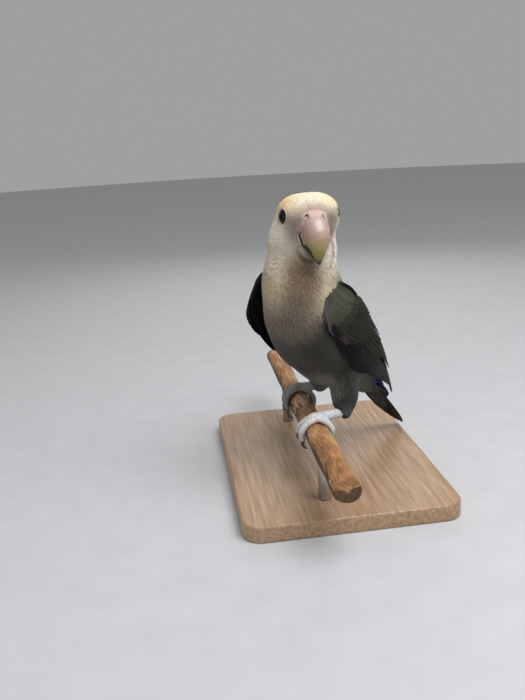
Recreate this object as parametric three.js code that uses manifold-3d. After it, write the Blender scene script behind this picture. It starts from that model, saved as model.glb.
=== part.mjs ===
// A perched peach-faced lovebird, life size, with a cut length of branch on a plain stand.
// Millimetres and degrees, +Z up. The branch runs along Y, and the origin lies under the
// middle of the stand's base. The bird has a frame of its own: X forward, Y to its left.

import * as THREE from 'three';
import { mergeVertices } from 'three/addons/utils/BufferGeometryUtils.js';
import Module from 'manifold-3d';

const wasm = await Module();
wasm.setup();

// Clearance between pieces that touch
const GAP = 0.3;

// Branch and stand
const PERCH = { x: -10, z: 34, radius: 5.6, taper: 0.005, halfLength: 95, sides: 14, rings: 12 };
const BASE = { width: 100, depth: 140, thickness: 8, corner: 9, bevel: 1 };
const ROD = { radius: 3, reach: 50, sides: 18 };

// Where the bird stands, and which way it and its head face
const BIRD = { x: -3.4, y: -17.5, heading: 221 };
const TRUNK = { x: 13, z: 97, pitch: 57 };
const HEAD = { x: 13.2, y: 5.95, z: 130.8, turn: 54 };

// Bill, eyes and lids, from the middle of the head
const EYE = { radius: 3.6, bearing: 73, up: 3.5, sunk: 3.3, dimple: 4.4, dimpleOut: 2.9, tilt: 0.1 };
const LID = { radius: 3.05, thickness: 0.6, sunk: 1.2 };
const NOSTRIL = { from: [4, 5], aim: [8.3, 3.6, 0.6], radius: 0.8 };
const GAPE = { from: [2, -2.6], corner: [8, 6.3, 0.4], front: [8.2, 5.6, -2.8], radius: 0.75 };

// Legs: the heel in the bird's frame, the foot along the branch
const LEGS = {
  left: { side: 1, heel: [4.2, 16.6, 42.6], footY: -31, hip: [-6, 12, 63] },
  right: { side: -1, heel: [-18.8, -15.3, 43], footY: 11, hip: [-14, -11, 62] },
};

const COLOURS = {
  wood: '#b98a52',
  rod: '#b9bcc0',
  base: '#d8cdb8',
  face: '#e6d3b4',
  breast: '#b5a78f',
  belly: '#6b6a5f',
  wing: '#4a4c3c',
  tail: '#4b4f55',
  thigh: '#6d6c68',
  bill: '#d9b5a3',
  eye: '#0d0b0a',
  foot: '#c9c6c6',
  claw: '#3a3432',
};

const SEED = 11;

const X_AXIS = new THREE.Vector3(1, 0, 0);
const rad = THREE.MathUtils.degToRad;
const vec = (x, y, z) => new THREE.Vector3(x, y, z);

// A seeded draw between -1 and 1, so that like feathers vary a little
let drawState = SEED;
function draw() {
  drawState = (Math.imul(drawState, 1664525) + 1013904223) >>> 0;
  return drawState / 2 ** 31 - 1;
}

// Solids
function toSolid(geometry) {
  const bare = geometry.clone();
  bare.deleteAttribute('normal');
  bare.deleteAttribute('uv');
  const merged = mergeVertices(bare, 1e-4);
  return new wasm.Manifold(new wasm.Mesh({
    numProp: 3,
    vertProperties: merged.attributes.position.array,
    triVerts: new Uint32Array(merged.index.array),
  }));
}

function largest(solid) {
  const pieces = solid.simplify(0.01).decompose();
  pieces.sort((a, b) => b.volume() - a.volume());
  return pieces[0];
}

function toMesh(name, solid, colour, roughness = 0.8, metalness = 0) {
  const { vertProperties, triVerts } = largest(solid).getMesh();
  const geometry = new THREE.BufferGeometry();
  geometry.setAttribute('position', new THREE.BufferAttribute(new Float32Array(vertProperties), 3));
  geometry.setIndex(new THREE.BufferAttribute(new Uint32Array(triVerts), 1));
  geometry.computeVertexNormals();
  const mesh = new THREE.Mesh(geometry, new THREE.MeshStandardMaterial({
    color: colour, roughness, metalness,
  }));
  mesh.name = name;
  return mesh;
}

function closedSolid(points, faces) {
  const geometry = new THREE.BufferGeometry().setFromPoints(points);
  geometry.setIndex(faces);
  const solid = toSolid(geometry);
  if (solid.volume() > 0) return solid;
  geometry.setIndex(faces.reverse());
  return toSolid(geometry);
}

function facesBetween(rings) {
  const count = rings[0].length;
  const faces = [];
  for (let i = 0; i + 1 < rings.length; i += 1) {
    for (let k = 0; k < count; k += 1) {
      const a = i * count + k;
      const b = i * count + (k + 1) % count;
      faces.push(a, b, b + count, a, b + count, a + count);
    }
  }
  return faces;
}

// A closed skin over a row of rings of equal count, each end drawn to its pole
function loft(rings, startPole, endPole) {
  const count = rings[0].length;
  const start = rings.length * count;
  const last = start - count;
  const faces = facesBetween(rings);
  for (let k = 0; k < count; k += 1) {
    const next = (k + 1) % count;
    faces.push(start, next, k);
    faces.push(start + 1, last + k, last + next);
  }
  return closedSolid([...rings.flat(), startPole, endPole], faces);
}

// The same over flat rings that run out along one face and back along the other
function sheetLoft(rings) {
  const count = rings[0].length;
  const last = (rings.length - 1) * count;
  const faces = facesBetween(rings);
  for (let k = 0; k + 1 < count / 2; k += 1) {
    const [a, b, c, d] = [k, k + 1, count - 2 - k, count - 1 - k];
    faces.push(b, a, d, b, d, c);
    faces.push(last + a, last + b, last + c, last + a, last + c, last + d);
  }
  return closedSolid(rings.flat(), faces);
}

function joined(solids) {
  return wasm.Manifold.union(solids);
}

// One feather's vane, flat and tapered, split into triangles alike on both faces. The outline
// lists half widths along its length; place() lays (share, across, height) on the bird.
const FLIGHT_OUTLINE = [[0, 0.5], [0.34, 1], [0.68, 1], [0.93, 0.55]];
const COVERT_OUTLINE = [[0, 0.7], [0.55, 1], [0.88, 0.66]];
const VANE_THICKNESS = 0.66;
const VANE_CORNERS = [[1, 1], [-1, 1], [-1, -1], [1, -1]];

function vane(outline, halfWidth, place) {
  const rings = outline.map(([share, spread]) => VANE_CORNERS.map(([edge, face]) => (
    place(share, edge * spread * halfWidth, face * VANE_THICKNESS / 2)
  )));
  const points = [...rings.flat(), place(1, 0, 0)];
  const faces = [0, 1, 3, 1, 2, 3];
  for (let ring = 0; ring + 1 < rings.length; ring += 1) {
    const [a, b, c, d, e, f, g, h] = Array.from({ length: 8 }, (_, i) => ring * 4 + i);
    faces.push(a, e, b, b, e, f);
    faces.push(c, h, d, c, g, h);
    faces.push(b, f, c, c, f, g);
    faces.push(d, e, a, d, h, e);
  }
  const tip = points.length - 1;
  for (let k = 0; k < 4; k += 1) faces.push(tip - 4 + k, tip, tip - 4 + (k + 1) % 4);
  return closedSolid(points, faces);
}

function centroid(points) {
  return points.reduce((sum, point) => sum.add(point), vec(0, 0, 0)).divideScalar(points.length);
}

// A value read from a few named stations, eased between them
function along(stations, at) {
  const last = stations.length - 1;
  if (at <= stations[0][0]) return stations[0][1];
  if (at >= stations[last][0]) return stations[last][1];
  const i = stations.findIndex(([s]) => s > at) - 1;
  const [s0, v0] = stations[i];
  const [s1, v1] = stations[i + 1];
  const before = stations[Math.max(i - 1, 0)];
  const after = stations[Math.min(i + 2, last)];
  const span = s1 - s0;
  const slope0 = span * (v1 - before[1]) / (s1 - before[0]);
  const slope1 = span * (after[1] - v0) / (after[0] - s0);
  const u = (at - s0) / span;
  const rest = 1 - u;
  return v0 * (1 + 2 * u) * rest * rest + slope0 * u * rest * rest
    + v1 * u * u * (3 - 2 * u) - slope1 * u * u * rest;
}

// Frames inside the bird: the trunk's runs tailwards and up the back, the head's is turned
function trunkPoint(tailwards, dorsal, left) {
  const pitch = rad(TRUNK.pitch);
  return vec(
    TRUNK.x - tailwards * Math.cos(pitch) - dorsal * Math.sin(pitch),
    left,
    TRUNK.z - tailwards * Math.sin(pitch) + dorsal * Math.cos(pitch),
  );
}

function headPoint(forward, left, up) {
  const turn = rad(HEAD.turn);
  return vec(
    HEAD.x + forward * Math.cos(turn) - left * Math.sin(turn),
    HEAD.y + forward * Math.sin(turn) + left * Math.cos(turn),
    HEAD.z + up,
  );
}

// Flesh: rounded forms whose distances are blended into one smooth skin
function blob(framePoint, at, radii, fullness = 2) {
  const centre = framePoint(...at);
  const axes = [[1, 0, 0], [0, 1, 0], [0, 0, 1]].map(([a, b, c]) => (
    framePoint(at[0] + a, at[1] + b, at[2] + c).sub(centre)
  ));
  return (point) => {
    const offset = point.clone().sub(centre);
    const powers = axes.map((axis, i) => Math.abs(offset.dot(axis) / radii[i]) ** fullness);
    const share = powers.reduce((sum, power) => sum + power, 1e-9) ** (1 / fullness);
    return offset.length() * (1 - 1 / share);
  };
}

function stem(start, end, startRadius, endRadius) {
  const line = end.clone().sub(start);
  return (point) => {
    const offset = point.clone().sub(start);
    const share = THREE.MathUtils.clamp(offset.dot(line) / line.lengthSq(), 0, 1);
    const nearest = start.clone().addScaledVector(line, share);
    return point.distanceTo(nearest) - THREE.MathUtils.lerp(startRadius, endRadius, share);
  };
}

function blend(a, b, reach) {
  const share = THREE.MathUtils.clamp(0.5 + (a - b) / (2 * reach), 0, 1);
  return THREE.MathUtils.lerp(a, b, share) - reach * share * (1 - share);
}

const FLESH = [
  { form: blob(trunkPoint, [2, 3, 0], [28, 19, 17.5]), reach: 1 },
  { form: blob(trunkPoint, [22, 1.2, 0], [34, 22, 20.6]), reach: 8 },
  { form: stem(trunkPoint(40, 6, 0), trunkPoint(72, 13, 0), 14, 7), reach: 8 },
  { form: stem(trunkPoint(-4, 8, 0), headPoint(-3, -1.2, -8), 15.8, 13.4), reach: 8 },
  { form: blob(headPoint, [-1.5, 0.1, 2], [13, 14.1, 12], 2.6), reach: 4 },
  { form: blob(headPoint, [-2.5, -1.3, -7], [11.5, 15.7, 13.6]), reach: 5 },
  { form: blob(headPoint, [5, 0, -2.5], [8, 8, 7]), reach: 4 },
  { form: blob(headPoint, [8.6, 0, 2.6], [4.6, 5.2, 3.8]), reach: 2 },
];

function flesh(point) {
  return FLESH.reduce((value, { form, reach }) => blend(form(point), value, reach), 60);
}

// How far the skin lies from a point inside it, along one direction
function skinReach(origin, direction, grow) {
  const probe = vec();
  const outside = (reach) => flesh(probe.copy(origin).addScaledVector(direction, reach)) > grow;
  let far = 1;
  while (!outside(far) && far < 60) far += 1;
  let near = far - 1;
  for (let step = 0; step < 14; step += 1) {
    const middle = (near + far) / 2;
    if (outside(middle)) far = middle;
    else near = middle;
  }
  return far;
}

// The whole bird's flesh as one solid: rings of rays thrown out from a curve inside it
function fleshSolid(grow = 0, around = 26, lengthways = 26, cap = 5) {
  const spine = new THREE.CatmullRomCurve3([
    trunkPoint(70, 12.5, 0),
    trunkPoint(45, 6, 0),
    trunkPoint(12, 3.5, 0),
    trunkPoint(-13, 8, 3),
    headPoint(-1, 0, 0),
  ]);
  const stations = [];
  for (let i = cap - 1; i > 0; i -= 1) stations.push([0, -i * 90 / cap]);
  for (let i = 0; i <= lengthways; i += 1) stations.push([i / lengthways, 0]);
  for (let i = 1; i < cap; i += 1) stations.push([1, i * 90 / cap]);
  const throwRay = (origin, direction) => (
    origin.clone().addScaledVector(direction, skinReach(origin, direction, grow))
  );
  const rings = stations.map(([share, tilt]) => {
    const origin = spine.getPointAt(share);
    const ahead = spine.getTangentAt(share);
    const dorsal = vec(-1, 0, 0.4).addScaledVector(ahead, -vec(-1, 0, 0.4).dot(ahead)).normalize();
    const side = new THREE.Vector3().crossVectors(ahead, dorsal);
    return Array.from({ length: around }, (_, k) => {
      const turn = 2 * Math.PI * k / around;
      const outward = dorsal.clone().multiplyScalar(Math.cos(turn) * Math.cos(rad(tilt)))
        .addScaledVector(side, Math.sin(turn) * Math.cos(rad(tilt)))
        .addScaledVector(ahead, Math.sin(rad(tilt)));
      return throwRay(origin, outward);
    });
  });
  const ends = [0, 1].map((share) => (
    throwRay(spine.getPointAt(share), spine.getTangentAt(share).multiplyScalar(share * 2 - 1))
  ));
  return loft(rings, ends[0], ends[1]);
}

// A block as large as the bird on the far side of a plane
function beyond(point, normal) {
  const size = 300;
  const block = new THREE.BoxGeometry(size, size, size);
  block.translate(size / 2, 0, 0);
  block.applyQuaternion(new THREE.Quaternion().setFromUnitVectors(X_AXIS, normal));
  block.translate(point.x, point.y, point.z);
  return toSolid(block);
}

const body = fleshSolid();
const clearOfBody = fleshSolid(GAP);

// Head, neck and torso: the one skin parted by thin cuts across the neck
const JOINS = {
  head: { at: headPoint(-1, 0, -15.5), normal: vec(0.1, 0.1, 1).normalize() },
  neck: { at: trunkPoint(-8, 4, 0), normal: vec(0.2, 0.1, 0.97).normalize() },
};

function pastJoin({ at, normal }, offset) {
  return beyond(at.clone().addScaledVector(normal, offset), normal);
}

const aboveNeck = pastJoin(JOINS.head, GAP / 2);
const fromNeckUp = pastJoin(JOINS.neck, GAP / 2);
const headFlesh = body.intersect(aboveNeck);
const neckFlesh = body.intersect(fromNeckUp).subtract(pastJoin(JOINS.head, -GAP / 2));
const torsoFlesh = body.subtract(pastJoin(JOINS.neck, -GAP / 2));

// Each eye is a whole ball set into the skin at its bearing from straight ahead
function eyeOutward(side) {
  const bearing = rad(EYE.bearing);
  return headPoint(Math.cos(bearing), side * Math.sin(bearing), EYE.tilt)
    .sub(headPoint(0, 0, 0)).normalize();
}

function eyeCentre(side, sunk = EYE.sunk) {
  const origin = headPoint(0, 0, EYE.up);
  const outward = eyeOutward(side);
  return origin.addScaledVector(outward, skinReach(origin, outward, 0) - sunk);
}

function ball(radius, centre, across = 14, down = 9) {
  const geometry = new THREE.SphereGeometry(radius, across, down);
  geometry.translate(centre.x, centre.y, centre.z);
  return toSolid(geometry);
}

function lid(side) {
  const ring = new THREE.TorusGeometry(LID.radius, LID.thickness, 5, 14);
  ring.applyQuaternion(new THREE.Quaternion().setFromUnitVectors(vec(0, 0, 1), eyeOutward(side)));
  const centre = eyeCentre(side, LID.sunk);
  ring.translate(centre.x, centre.y, centre.z);
  return toSolid(ring);
}

// The spot on the face met from a point on the head's midline, looking along an aim
function faceSpot(side, [behind, height], [forward, out, up]) {
  const origin = headPoint(behind, 0, height);
  const aim = headPoint(behind + forward, side * out, height + up).sub(origin).normalize();
  return origin.addScaledVector(aim, skinReach(origin, aim, 0));
}

function headSolid() {
  let solid = headFlesh;
  for (const side of [1, -1]) {
    solid = solid.subtract(ball(EYE.dimple, eyeCentre(side, -EYE.dimpleOut)));
    solid = solid.add(lid(side));
    solid = solid.subtract(ball(EYE.radius + GAP, eyeCentre(side)));
    solid = solid.subtract(ball(NOSTRIL.radius, faceSpot(side, NOSTRIL.from, NOSTRIL.aim), 8, 6));
    const corner = faceSpot(side, GAPE.from, GAPE.corner);
    const front = faceSpot(side, GAPE.from, GAPE.front);
    const groove = [0, 0.5, 1].map((share) => corner.clone().lerp(front, share));
    solid = solid.subtract(limb(groove, [0.3, GAPE.radius, GAPE.radius], 6, 3));
  }
  return solid;
}

// Upper and lower bill: rings from the ridge to the cutting edge, narrowing to the tip
const UPPER = {
  ridge: [[9, 6.8], [15.4, 3.9], [18.9, -2.2], [19.5, -8.6], [17.9, -15.2]],
  edge: [[4, -4.6], [8.5, -5.8], [12.2, -7.2], [14.8, -9.6], [17.1, -14.8]],
  width: [[0, 10.4], [0.3, 10.1], [0.6, 7.6], [0.85, 4.1], [1, 1]],
  flare: [[0, 1.35], [0.35, 1.2], [0.7, 1], [1, 1]],
};
const LOWER = {
  ridge: [[2, -3], [8.8, -4.8], [12.2, -8], [14.6, -11.6]],
  edge: [[2, -13.6], [8.8, -14.2], [12, -14.2], [14.3, -13.2]],
  width: [[0, 14], [0.45, 12.8], [0.75, 9.2], [1, 3.4]],
  flare: [[0, 1.05], [1, 1]],
};

// Half the bill: its side outline from ridge to edge, its width, and how far the edge flares
function billHalf({ ridge, edge, width, flare }, rings = 8, around = 12) {
  const top = new THREE.SplineCurve(ridge.map(([f, u]) => new THREE.Vector2(f, u)));
  const bottom = new THREE.SplineCurve(edge.map(([f, u]) => new THREE.Vector2(f, u)));
  const sections = Array.from({ length: rings }, (_, i) => {
    const share = i / (rings - 1);
    const high = top.getPoint(share);
    const low = bottom.getPoint(share);
    const half = along(width, share) / 2;
    return Array.from({ length: around }, (__, k) => {
      const turn = 2 * Math.PI * k / around;
      const mix = (1 + Math.cos(turn)) / 2;
      const spread = half * THREE.MathUtils.lerp(along(flare, share), 1, mix);
      return headPoint(
        THREE.MathUtils.lerp(low.x, high.x, mix),
        spread * Math.sign(Math.sin(turn)) * Math.abs(Math.sin(turn)) ** 0.85,
        THREE.MathUtils.lerp(low.y, high.y, mix),
      );
    });
  });
  return loft(sections, centroid(sections[0]), centroid(sections[rings - 1]));
}

const upperBill = billHalf(UPPER);
const lowerBill = billHalf(LOWER);

// The folded wing is a sheet wrapped round the trunk: stations run tailwards from the wrist,
// angles run from the flank (0) up to the middle of the back (90)
const WING = {
  start: -8,
  padEnd: 50,
  sideRadius: [[-8, 15], [2, 20], [14, 20.8], [40, 19.8], [65, 13.5], [93, 7.5]],
  backRadius: [[-8, 13], [2, 19.6], [14, 20.6], [40, 19.6], [65, 13], [93, 7.5]],
  middle: [[-8, 4], [14, 3.6], [40, 5], [65, 10.5], [93, 15.5]],
  lowerEdge: [[-8, -8], [0, -31], [20, -34], [45, -26], [70, 6], [93, 57]],
  upperEdge: [[-8, 40], [0, 62], [20, 80], [60, 84], [80, 80], [93, 74]],
  padTop: [[-8, 0.4], [2, 1.7], [20, 1.5], [50, -0.1]],
  padUnder: -1.3,
  lift: [[-8, 0.9], [4, 1], [25, 0.75], [50, 0.1], [93, 0]],
  held: { '1': 1.5, '-1': 9.5 },
  apart: 0.7,
};

// Rows of wing feathers, each from the lower edge (0) to the back (1). Root and tip stations
// are given at the row's two ends, heights over the sheet at a vane's root and tip.
const WING_ROWS = {
  primaries: {
    count: 6, from: 0.03, to: 0.4, root: [34, 38], tip: [93, 68],
    half: 2.9, height: [-0.9, -0.2], tilt: 0.3, outline: FLIGHT_OUTLINE,
  },
  secondaries: {
    count: 5, from: 0.44, to: 0.97, root: [32, 29], tip: [67, 58],
    half: 3.5, height: [0, 0.9], tilt: 0.3, outline: FLIGHT_OUTLINE,
  },
  primaryCoverts: {
    count: 3, from: 0.04, to: 0.28, root: [26, 24], tip: [48, 44],
    half: 3.1, height: [0.1, 0.9], tilt: 0.3, outline: COVERT_OUTLINE,
  },
  greaterCoverts: {
    count: 5, from: 0.4, to: 0.96, root: [22, 20], tip: [43, 38],
    half: 3.8, height: [0.7, 1.7], tilt: 0.3, outline: COVERT_OUTLINE,
  },
  alula: {
    count: 2, from: 0.05, to: 0.17, root: [9, 9], tip: [28, 25],
    half: 2.9, height: [0.9, 1.6], tilt: 0.3, outline: COVERT_OUTLINE,
  },
  medianCoverts: {
    count: 5, from: 0.26, to: 0.95, root: [10, 9], tip: [26, 23],
    half: 4.4, height: [0.9, 1.8], tilt: 0.3, outline: COVERT_OUTLINE,
  },
  lesserCoverts: {
    count: 5, from: 0.12, to: 0.93, root: [-1, -1], tip: [14, 12],
    half: 4.3, height: [0.5, 1.5], tilt: 0.3, outline: COVERT_OUTLINE,
  },
};

function wingPoint(side, station, angle, height) {
  const turn = rad(angle);
  const middle = along(WING.middle, station);
  const low = along(WING.lowerEdge, station);
  const drop = THREE.MathUtils.clamp((90 - angle) / (90 - low), 0, 1);
  const off = height + WING.held[side] * along(WING.lift, station) * drop ** 1.5;
  return trunkPoint(
    station,
    middle + (along(WING.backRadius, station) + off) * Math.sin(turn),
    side * (along(WING.sideRadius, station) + off) * Math.cos(turn),
  );
}

// The part of the sheet between two stations as one solid, from its underside to its top
function wingSheet(side, { start, end, under, top, margin = 0 }, rings = 10, across = 7) {
  const sections = Array.from({ length: rings }, (_, i) => {
    const station = THREE.MathUtils.lerp(start, end, i / (rings - 1));
    const low = along(WING.lowerEdge, station) - margin;
    const high = along(WING.upperEdge, station) + margin;
    const outer = [];
    const inner = [];
    for (let k = 0; k <= across; k += 1) {
      const angle = THREE.MathUtils.lerp(low, high, k / across);
      outer.push(wingPoint(side, station, angle, top(station)));
      inner.unshift(wingPoint(side, station, angle, under));
    }
    return [...outer, ...inner];
  });
  return sheetLoft(sections);
}

function wingVane(side, row, share) {
  const lerp = THREE.MathUtils.lerp;
  const root = lerp(...row.root, share);
  const tip = lerp(...row.tip, share) + 0.8 * draw();
  const line = lerp(row.from, row.to, share);
  const sway = 1.2 * draw();
  return vane(row.outline, row.half, (along01, across, height) => {
    const station = lerp(root, tip, along01);
    const radius = Math.max(along(WING.sideRadius, station), 10);
    const low = along(WING.lowerEdge, station);
    const high = along(WING.upperEdge, station);
    const most = 90 - THREE.MathUtils.radToDeg((row.half + WING.apart) / radius);
    const middle = Math.min(lerp(low, high, line) + sway * along01, most);
    const angle = middle + THREE.MathUtils.radToDeg(across / radius);
    const lean = -row.tilt * across / row.half;
    return wingPoint(side, station, angle, lerp(...row.height, along01) + height + lean);
  });
}

function wingSolid(side) {
  const pad = wingSheet(side, {
    start: WING.start,
    end: WING.padEnd,
    under: WING.padUnder,
    top: (station) => along(WING.padTop, station),
  });
  const vanes = Object.values(WING_ROWS).flatMap((row) => (
    Array.from({ length: row.count }, (_, i) => wingVane(side, row, i / (row.count - 1)))
  ));
  return joined([pad, ...vanes]).subtract(clearOfBody);
}

// The room a folded wing takes, for what lies beneath it to stay clear of
function wingRoom(side) {
  return wingSheet(side, { start: -4, end: 92, under: -1.9, top: () => 8, margin: 22 }, 12, 5);
}

// The tail: a short core, and over it rows of feathers from the middle outwards
const TAIL = {
  start: 60,
  coreEnd: 86,
  halfWidth: [[60, 7], [75, 6.6], [86, 5.6]],
  back: [[60, 15], [80, 16.9], [93, 18.4], [117, 21.6]],
  under: [[60, 4], [75, 9.5], [86, 14.6]],
};
const TAIL_ROWS = {
  rectrices: {
    count: 12, root: 66, tip: 117.5, shorten: 0.29, half: 3.7, spread: [0.75, 1.3],
    height: -0.6, drop: 0.42, outline: FLIGHT_OUTLINE,
  },
  upperCoverts: {
    count: 6, root: 64, tip: 91, shorten: 0.8, half: 3.1, spread: [1.8, 1.9],
    height: 0.35, drop: 0.9, outline: COVERT_OUTLINE,
  },
};
const UNDER_TAIL = { count: 7, root: 63, tip: 97, shorten: 1.4, half: 3, spread: 1.7 };

function tailCore(rings = 6, around = 12) {
  const sections = Array.from({ length: rings }, (_, i) => {
    const station = THREE.MathUtils.lerp(TAIL.start, TAIL.coreEnd, i / (rings - 1));
    const high = along(TAIL.back, station) - 1.2;
    const low = along(TAIL.under, station);
    const half = along(TAIL.halfWidth, station);
    return Array.from({ length: around }, (__, k) => {
      const turn = 2 * Math.PI * k / around;
      const mix = (1 + Math.cos(turn)) / 2;
      return trunkPoint(station, THREE.MathUtils.lerp(low, high, mix), half * Math.sin(turn));
    });
  });
  return loft(sections, centroid(sections[0]), centroid(sections[rings - 1]));
}

function tailVane(row, place) {
  const lerp = THREE.MathUtils.lerp;
  const away = Math.abs(place);
  const tip = row.tip - row.shorten * away ** 2 + 0.5 * draw();
  return vane(row.outline, row.half, (share, across, height) => {
    const station = lerp(row.root, tip, share);
    const left = place * lerp(...row.spread, share) + across;
    const seam = place > 0 ? 0.16 : 0;
    const roof = row.drop * away + 0.05 * Math.abs(across) + seam;
    return trunkPoint(station, along(TAIL.back, station) + row.height - roof + height, left);
  });
}

function underTailVane(place) {
  const row = UNDER_TAIL;
  const tip = row.tip - row.shorten * place ** 2 + 0.6 * draw();
  return vane(COVERT_OUTLINE, row.half, (share, across, height) => {
    const station = THREE.MathUtils.lerp(row.root, tip, share);
    const low = Math.min(along(TAIL.under, station), along(TAIL.back, station) - 4.6);
    const left = place * row.spread + across;
    return trunkPoint(station, low + 0.2 + 0.045 * left ** 2 - 0.4 * share + height, left);
  });
}

function tailSolid() {
  const middleOf = (count) => (count - 1) / 2;
  const above = Object.values(TAIL_ROWS).flatMap((row) => (
    Array.from({ length: row.count }, (_, i) => tailVane(row, i - middleOf(row.count)))
  ));
  const below = Array.from({ length: UNDER_TAIL.count }, (_, i) => (
    underTailVane(i - middleOf(UNDER_TAIL.count))
  ));
  return joined([tailCore(), ...above, ...below]).subtract(clearOfBody);
}

// A round limb along a row of points, with a radius at each
function limb(points, radii, around = 10, rings = (points.length - 1) * 2) {
  const curve = new THREE.CatmullRomCurve3(points);
  const stations = radii.map((radius, i) => [i / (radii.length - 1), radius]);
  const frames = curve.computeFrenetFrames(rings);
  const sections = Array.from({ length: rings + 1 }, (_, i) => {
    const share = i / rings;
    const centre = curve.getPoint(share);
    const radius = along(stations, share);
    return Array.from({ length: around }, (__, k) => {
      const turn = 2 * Math.PI * k / around;
      return centre.clone()
        .addScaledVector(frames.normals[i], radius * Math.cos(turn))
        .addScaledVector(frames.binormals[i], radius * Math.sin(turn));
    });
  });
  const startPole = curve.getPoint(0).addScaledVector(curve.getTangent(0), -radii[0] * 0.5);
  const endRadius = radii[radii.length - 1];
  const endPole = curve.getPoint(1).addScaledVector(curve.getTangent(1), endRadius * 0.5);
  return loft(sections, startPole, endPole);
}

function thigh({ hip, heel }, grow = 0) {
  const top = vec(...hip);
  const bottom = vec(...heel);
  const at = (share) => top.clone().lerp(bottom, share);
  return limb(
    [at(0), at(0.35), at(0.7), at(1)],
    [9 + grow, 9 + grow, 6.4 + grow, 3.4 + grow],
    12,
  );
}

// Everything above is in the bird's own frame; the feet hold the branch, in the part's frame
const birdPlace = new THREE.Matrix4().makeRotationZ(rad(BIRD.heading))
  .setPosition(BIRD.x, BIRD.y, 0);

function toPartFrame(solid) {
  return solid.transform(birdPlace.elements);
}

function perchSolid(grow = 0) {
  const sections = Array.from({ length: PERCH.rings }, (_, i) => {
    const y = PERCH.halfLength * (2 * i / (PERCH.rings - 1) - 1);
    const radius = PERCH.radius - PERCH.taper * (y - LEGS.left.footY) + grow;
    return Array.from({ length: PERCH.sides }, (__, k) => {
      const turn = 2 * Math.PI * k / PERCH.sides;
      const knots = 0.22 * Math.sin(3 * turn + y / 17) + 0.16 * Math.sin(2 * turn - y / 9);
      return vec(
        PERCH.x + (radius + knots) * Math.sin(turn),
        y,
        PERCH.z + (radius + knots) * Math.cos(turn),
      );
    });
  });
  const end = vec(PERCH.x, PERCH.halfLength, PERCH.z);
  return loft(sections, vec(end.x, -end.y, end.z), end);
}

const perch = perchSolid();
const clearOfPerch = perchSolid(GAP);

// Two toes go over the front of the branch and two over the back, each round it in an arc
const TOE = { radius: 1.8, tip: 1.3, claw: 1, clawLength: 5.5 };
const TOES = [
  { name: '2', from: 100, to: 196, spread: [0.9, 3.6] },
  { name: '3', from: 100, to: 208, spread: [-0.9, -3.4] },
  { name: '1', from: 80, to: -4, spread: [1, 3.4] },
  { name: '4', from: 80, to: -24, spread: [-1, -3.8] },
];

function roundPerch(footY, angle, radius, shift) {
  return vec(
    PERCH.x + radius * Math.cos(rad(angle)),
    footY + shift,
    PERCH.z + radius * Math.sin(rad(angle)),
  );
}

function toePath(footY, { from, to, spread }, shares) {
  const radius = PERCH.radius + TOE.radius - 0.2;
  return shares.map((share) => roundPerch(
    footY,
    THREE.MathUtils.lerp(from, to, share),
    radius,
    THREE.MathUtils.lerp(spread[0], spread[1], share),
  ));
}

function toe(footY, sizes, grow = 0) {
  const path = toePath(footY, sizes, [0, 0.25, 0.5, 0.75, 1]);
  const radii = [TOE.radius, TOE.radius * 0.9, TOE.radius, TOE.radius * 0.84, TOE.tip];
  return limb(path, radii.map((radius) => radius + grow), 6, 7);
}

function claw(footY, sizes) {
  const [before, end] = toePath(footY, sizes, [0.9, 1]);
  const ahead = end.clone().sub(before).normalize();
  const away = end.clone().sub(vec(PERCH.x, end.y, PERCH.z)).normalize();
  const at = (reach, lift) => end.clone().addScaledVector(ahead, reach).addScaledVector(away, lift);
  const length = TOE.clawLength;
  return limb(
    [at(-0.4, 0.2), at(length * 0.35, 0.9), at(length * 0.72, 0.6), at(length, -0.6)],
    [TOE.claw, TOE.claw * 0.8, TOE.claw * 0.5, 0.16],
    5,
    4,
  );
}

function tarsus({ heel, footY }, grow = 0) {
  const top = vec(...heel).applyMatrix4(birdPlace);
  const foot = roundPerch(footY, 92, PERCH.radius + TOE.radius + 0.1, 0);
  const at = (share) => top.clone().lerp(foot, share);
  return limb([at(0), at(0.5), at(1)], [2.1 + grow, 1.75 + grow, 2.2 + grow], 9);
}

// Assembly
const lovebird = new THREE.Group();
const bird = new THREE.Group();
bird.position.set(BIRD.x, BIRD.y, 0);
bird.rotation.z = rad(BIRD.heading);
lovebird.add(bird);

bird.add(toMesh('head', headSolid(), COLOURS.face));
bird.add(toMesh('neck', neckFlesh, COLOURS.breast));
bird.add(toMesh('torso', torsoFlesh, COLOURS.belly));
bird.add(toMesh('bill_upper', upperBill.subtract(clearOfBody), COLOURS.bill, 0.4));
bird.add(toMesh('bill_lower', lowerBill.subtract(clearOfBody).subtract(upperBill), COLOURS.bill, 0.4));

for (const [name, leg] of Object.entries(LEGS)) {
  bird.add(toMesh('eye_' + name, ball(EYE.radius, eyeCentre(leg.side)), COLOURS.eye, 0.1));
  bird.add(toMesh('wing_' + name, wingSolid(leg.side), COLOURS.wing));
  const upperLeg = thigh(leg).subtract(clearOfBody).subtract(wingRoom(leg.side));
  bird.add(toMesh('thigh_' + name, upperLeg, COLOURS.thigh));

  const foot = TOES.reduce((solid, sizes) => solid.add(toe(leg.footY, sizes)), tarsus(leg));
  const clearOfThigh = toPartFrame(thigh(leg, GAP));
  lovebird.add(toMesh('foot_' + name, foot.subtract(clearOfPerch).subtract(clearOfThigh), COLOURS.foot));
  for (const sizes of TOES) {
    const nail = claw(leg.footY, sizes).subtract(clearOfPerch).subtract(toe(leg.footY, sizes, GAP));
    lovebird.add(toMesh('claw_' + name + '_' + sizes.name, nail, COLOURS.claw, 0.4));
  }
}
bird.add(toMesh('tail', tailSolid(), COLOURS.tail));

lovebird.add(toMesh('perch', perch, COLOURS.wood));

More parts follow.
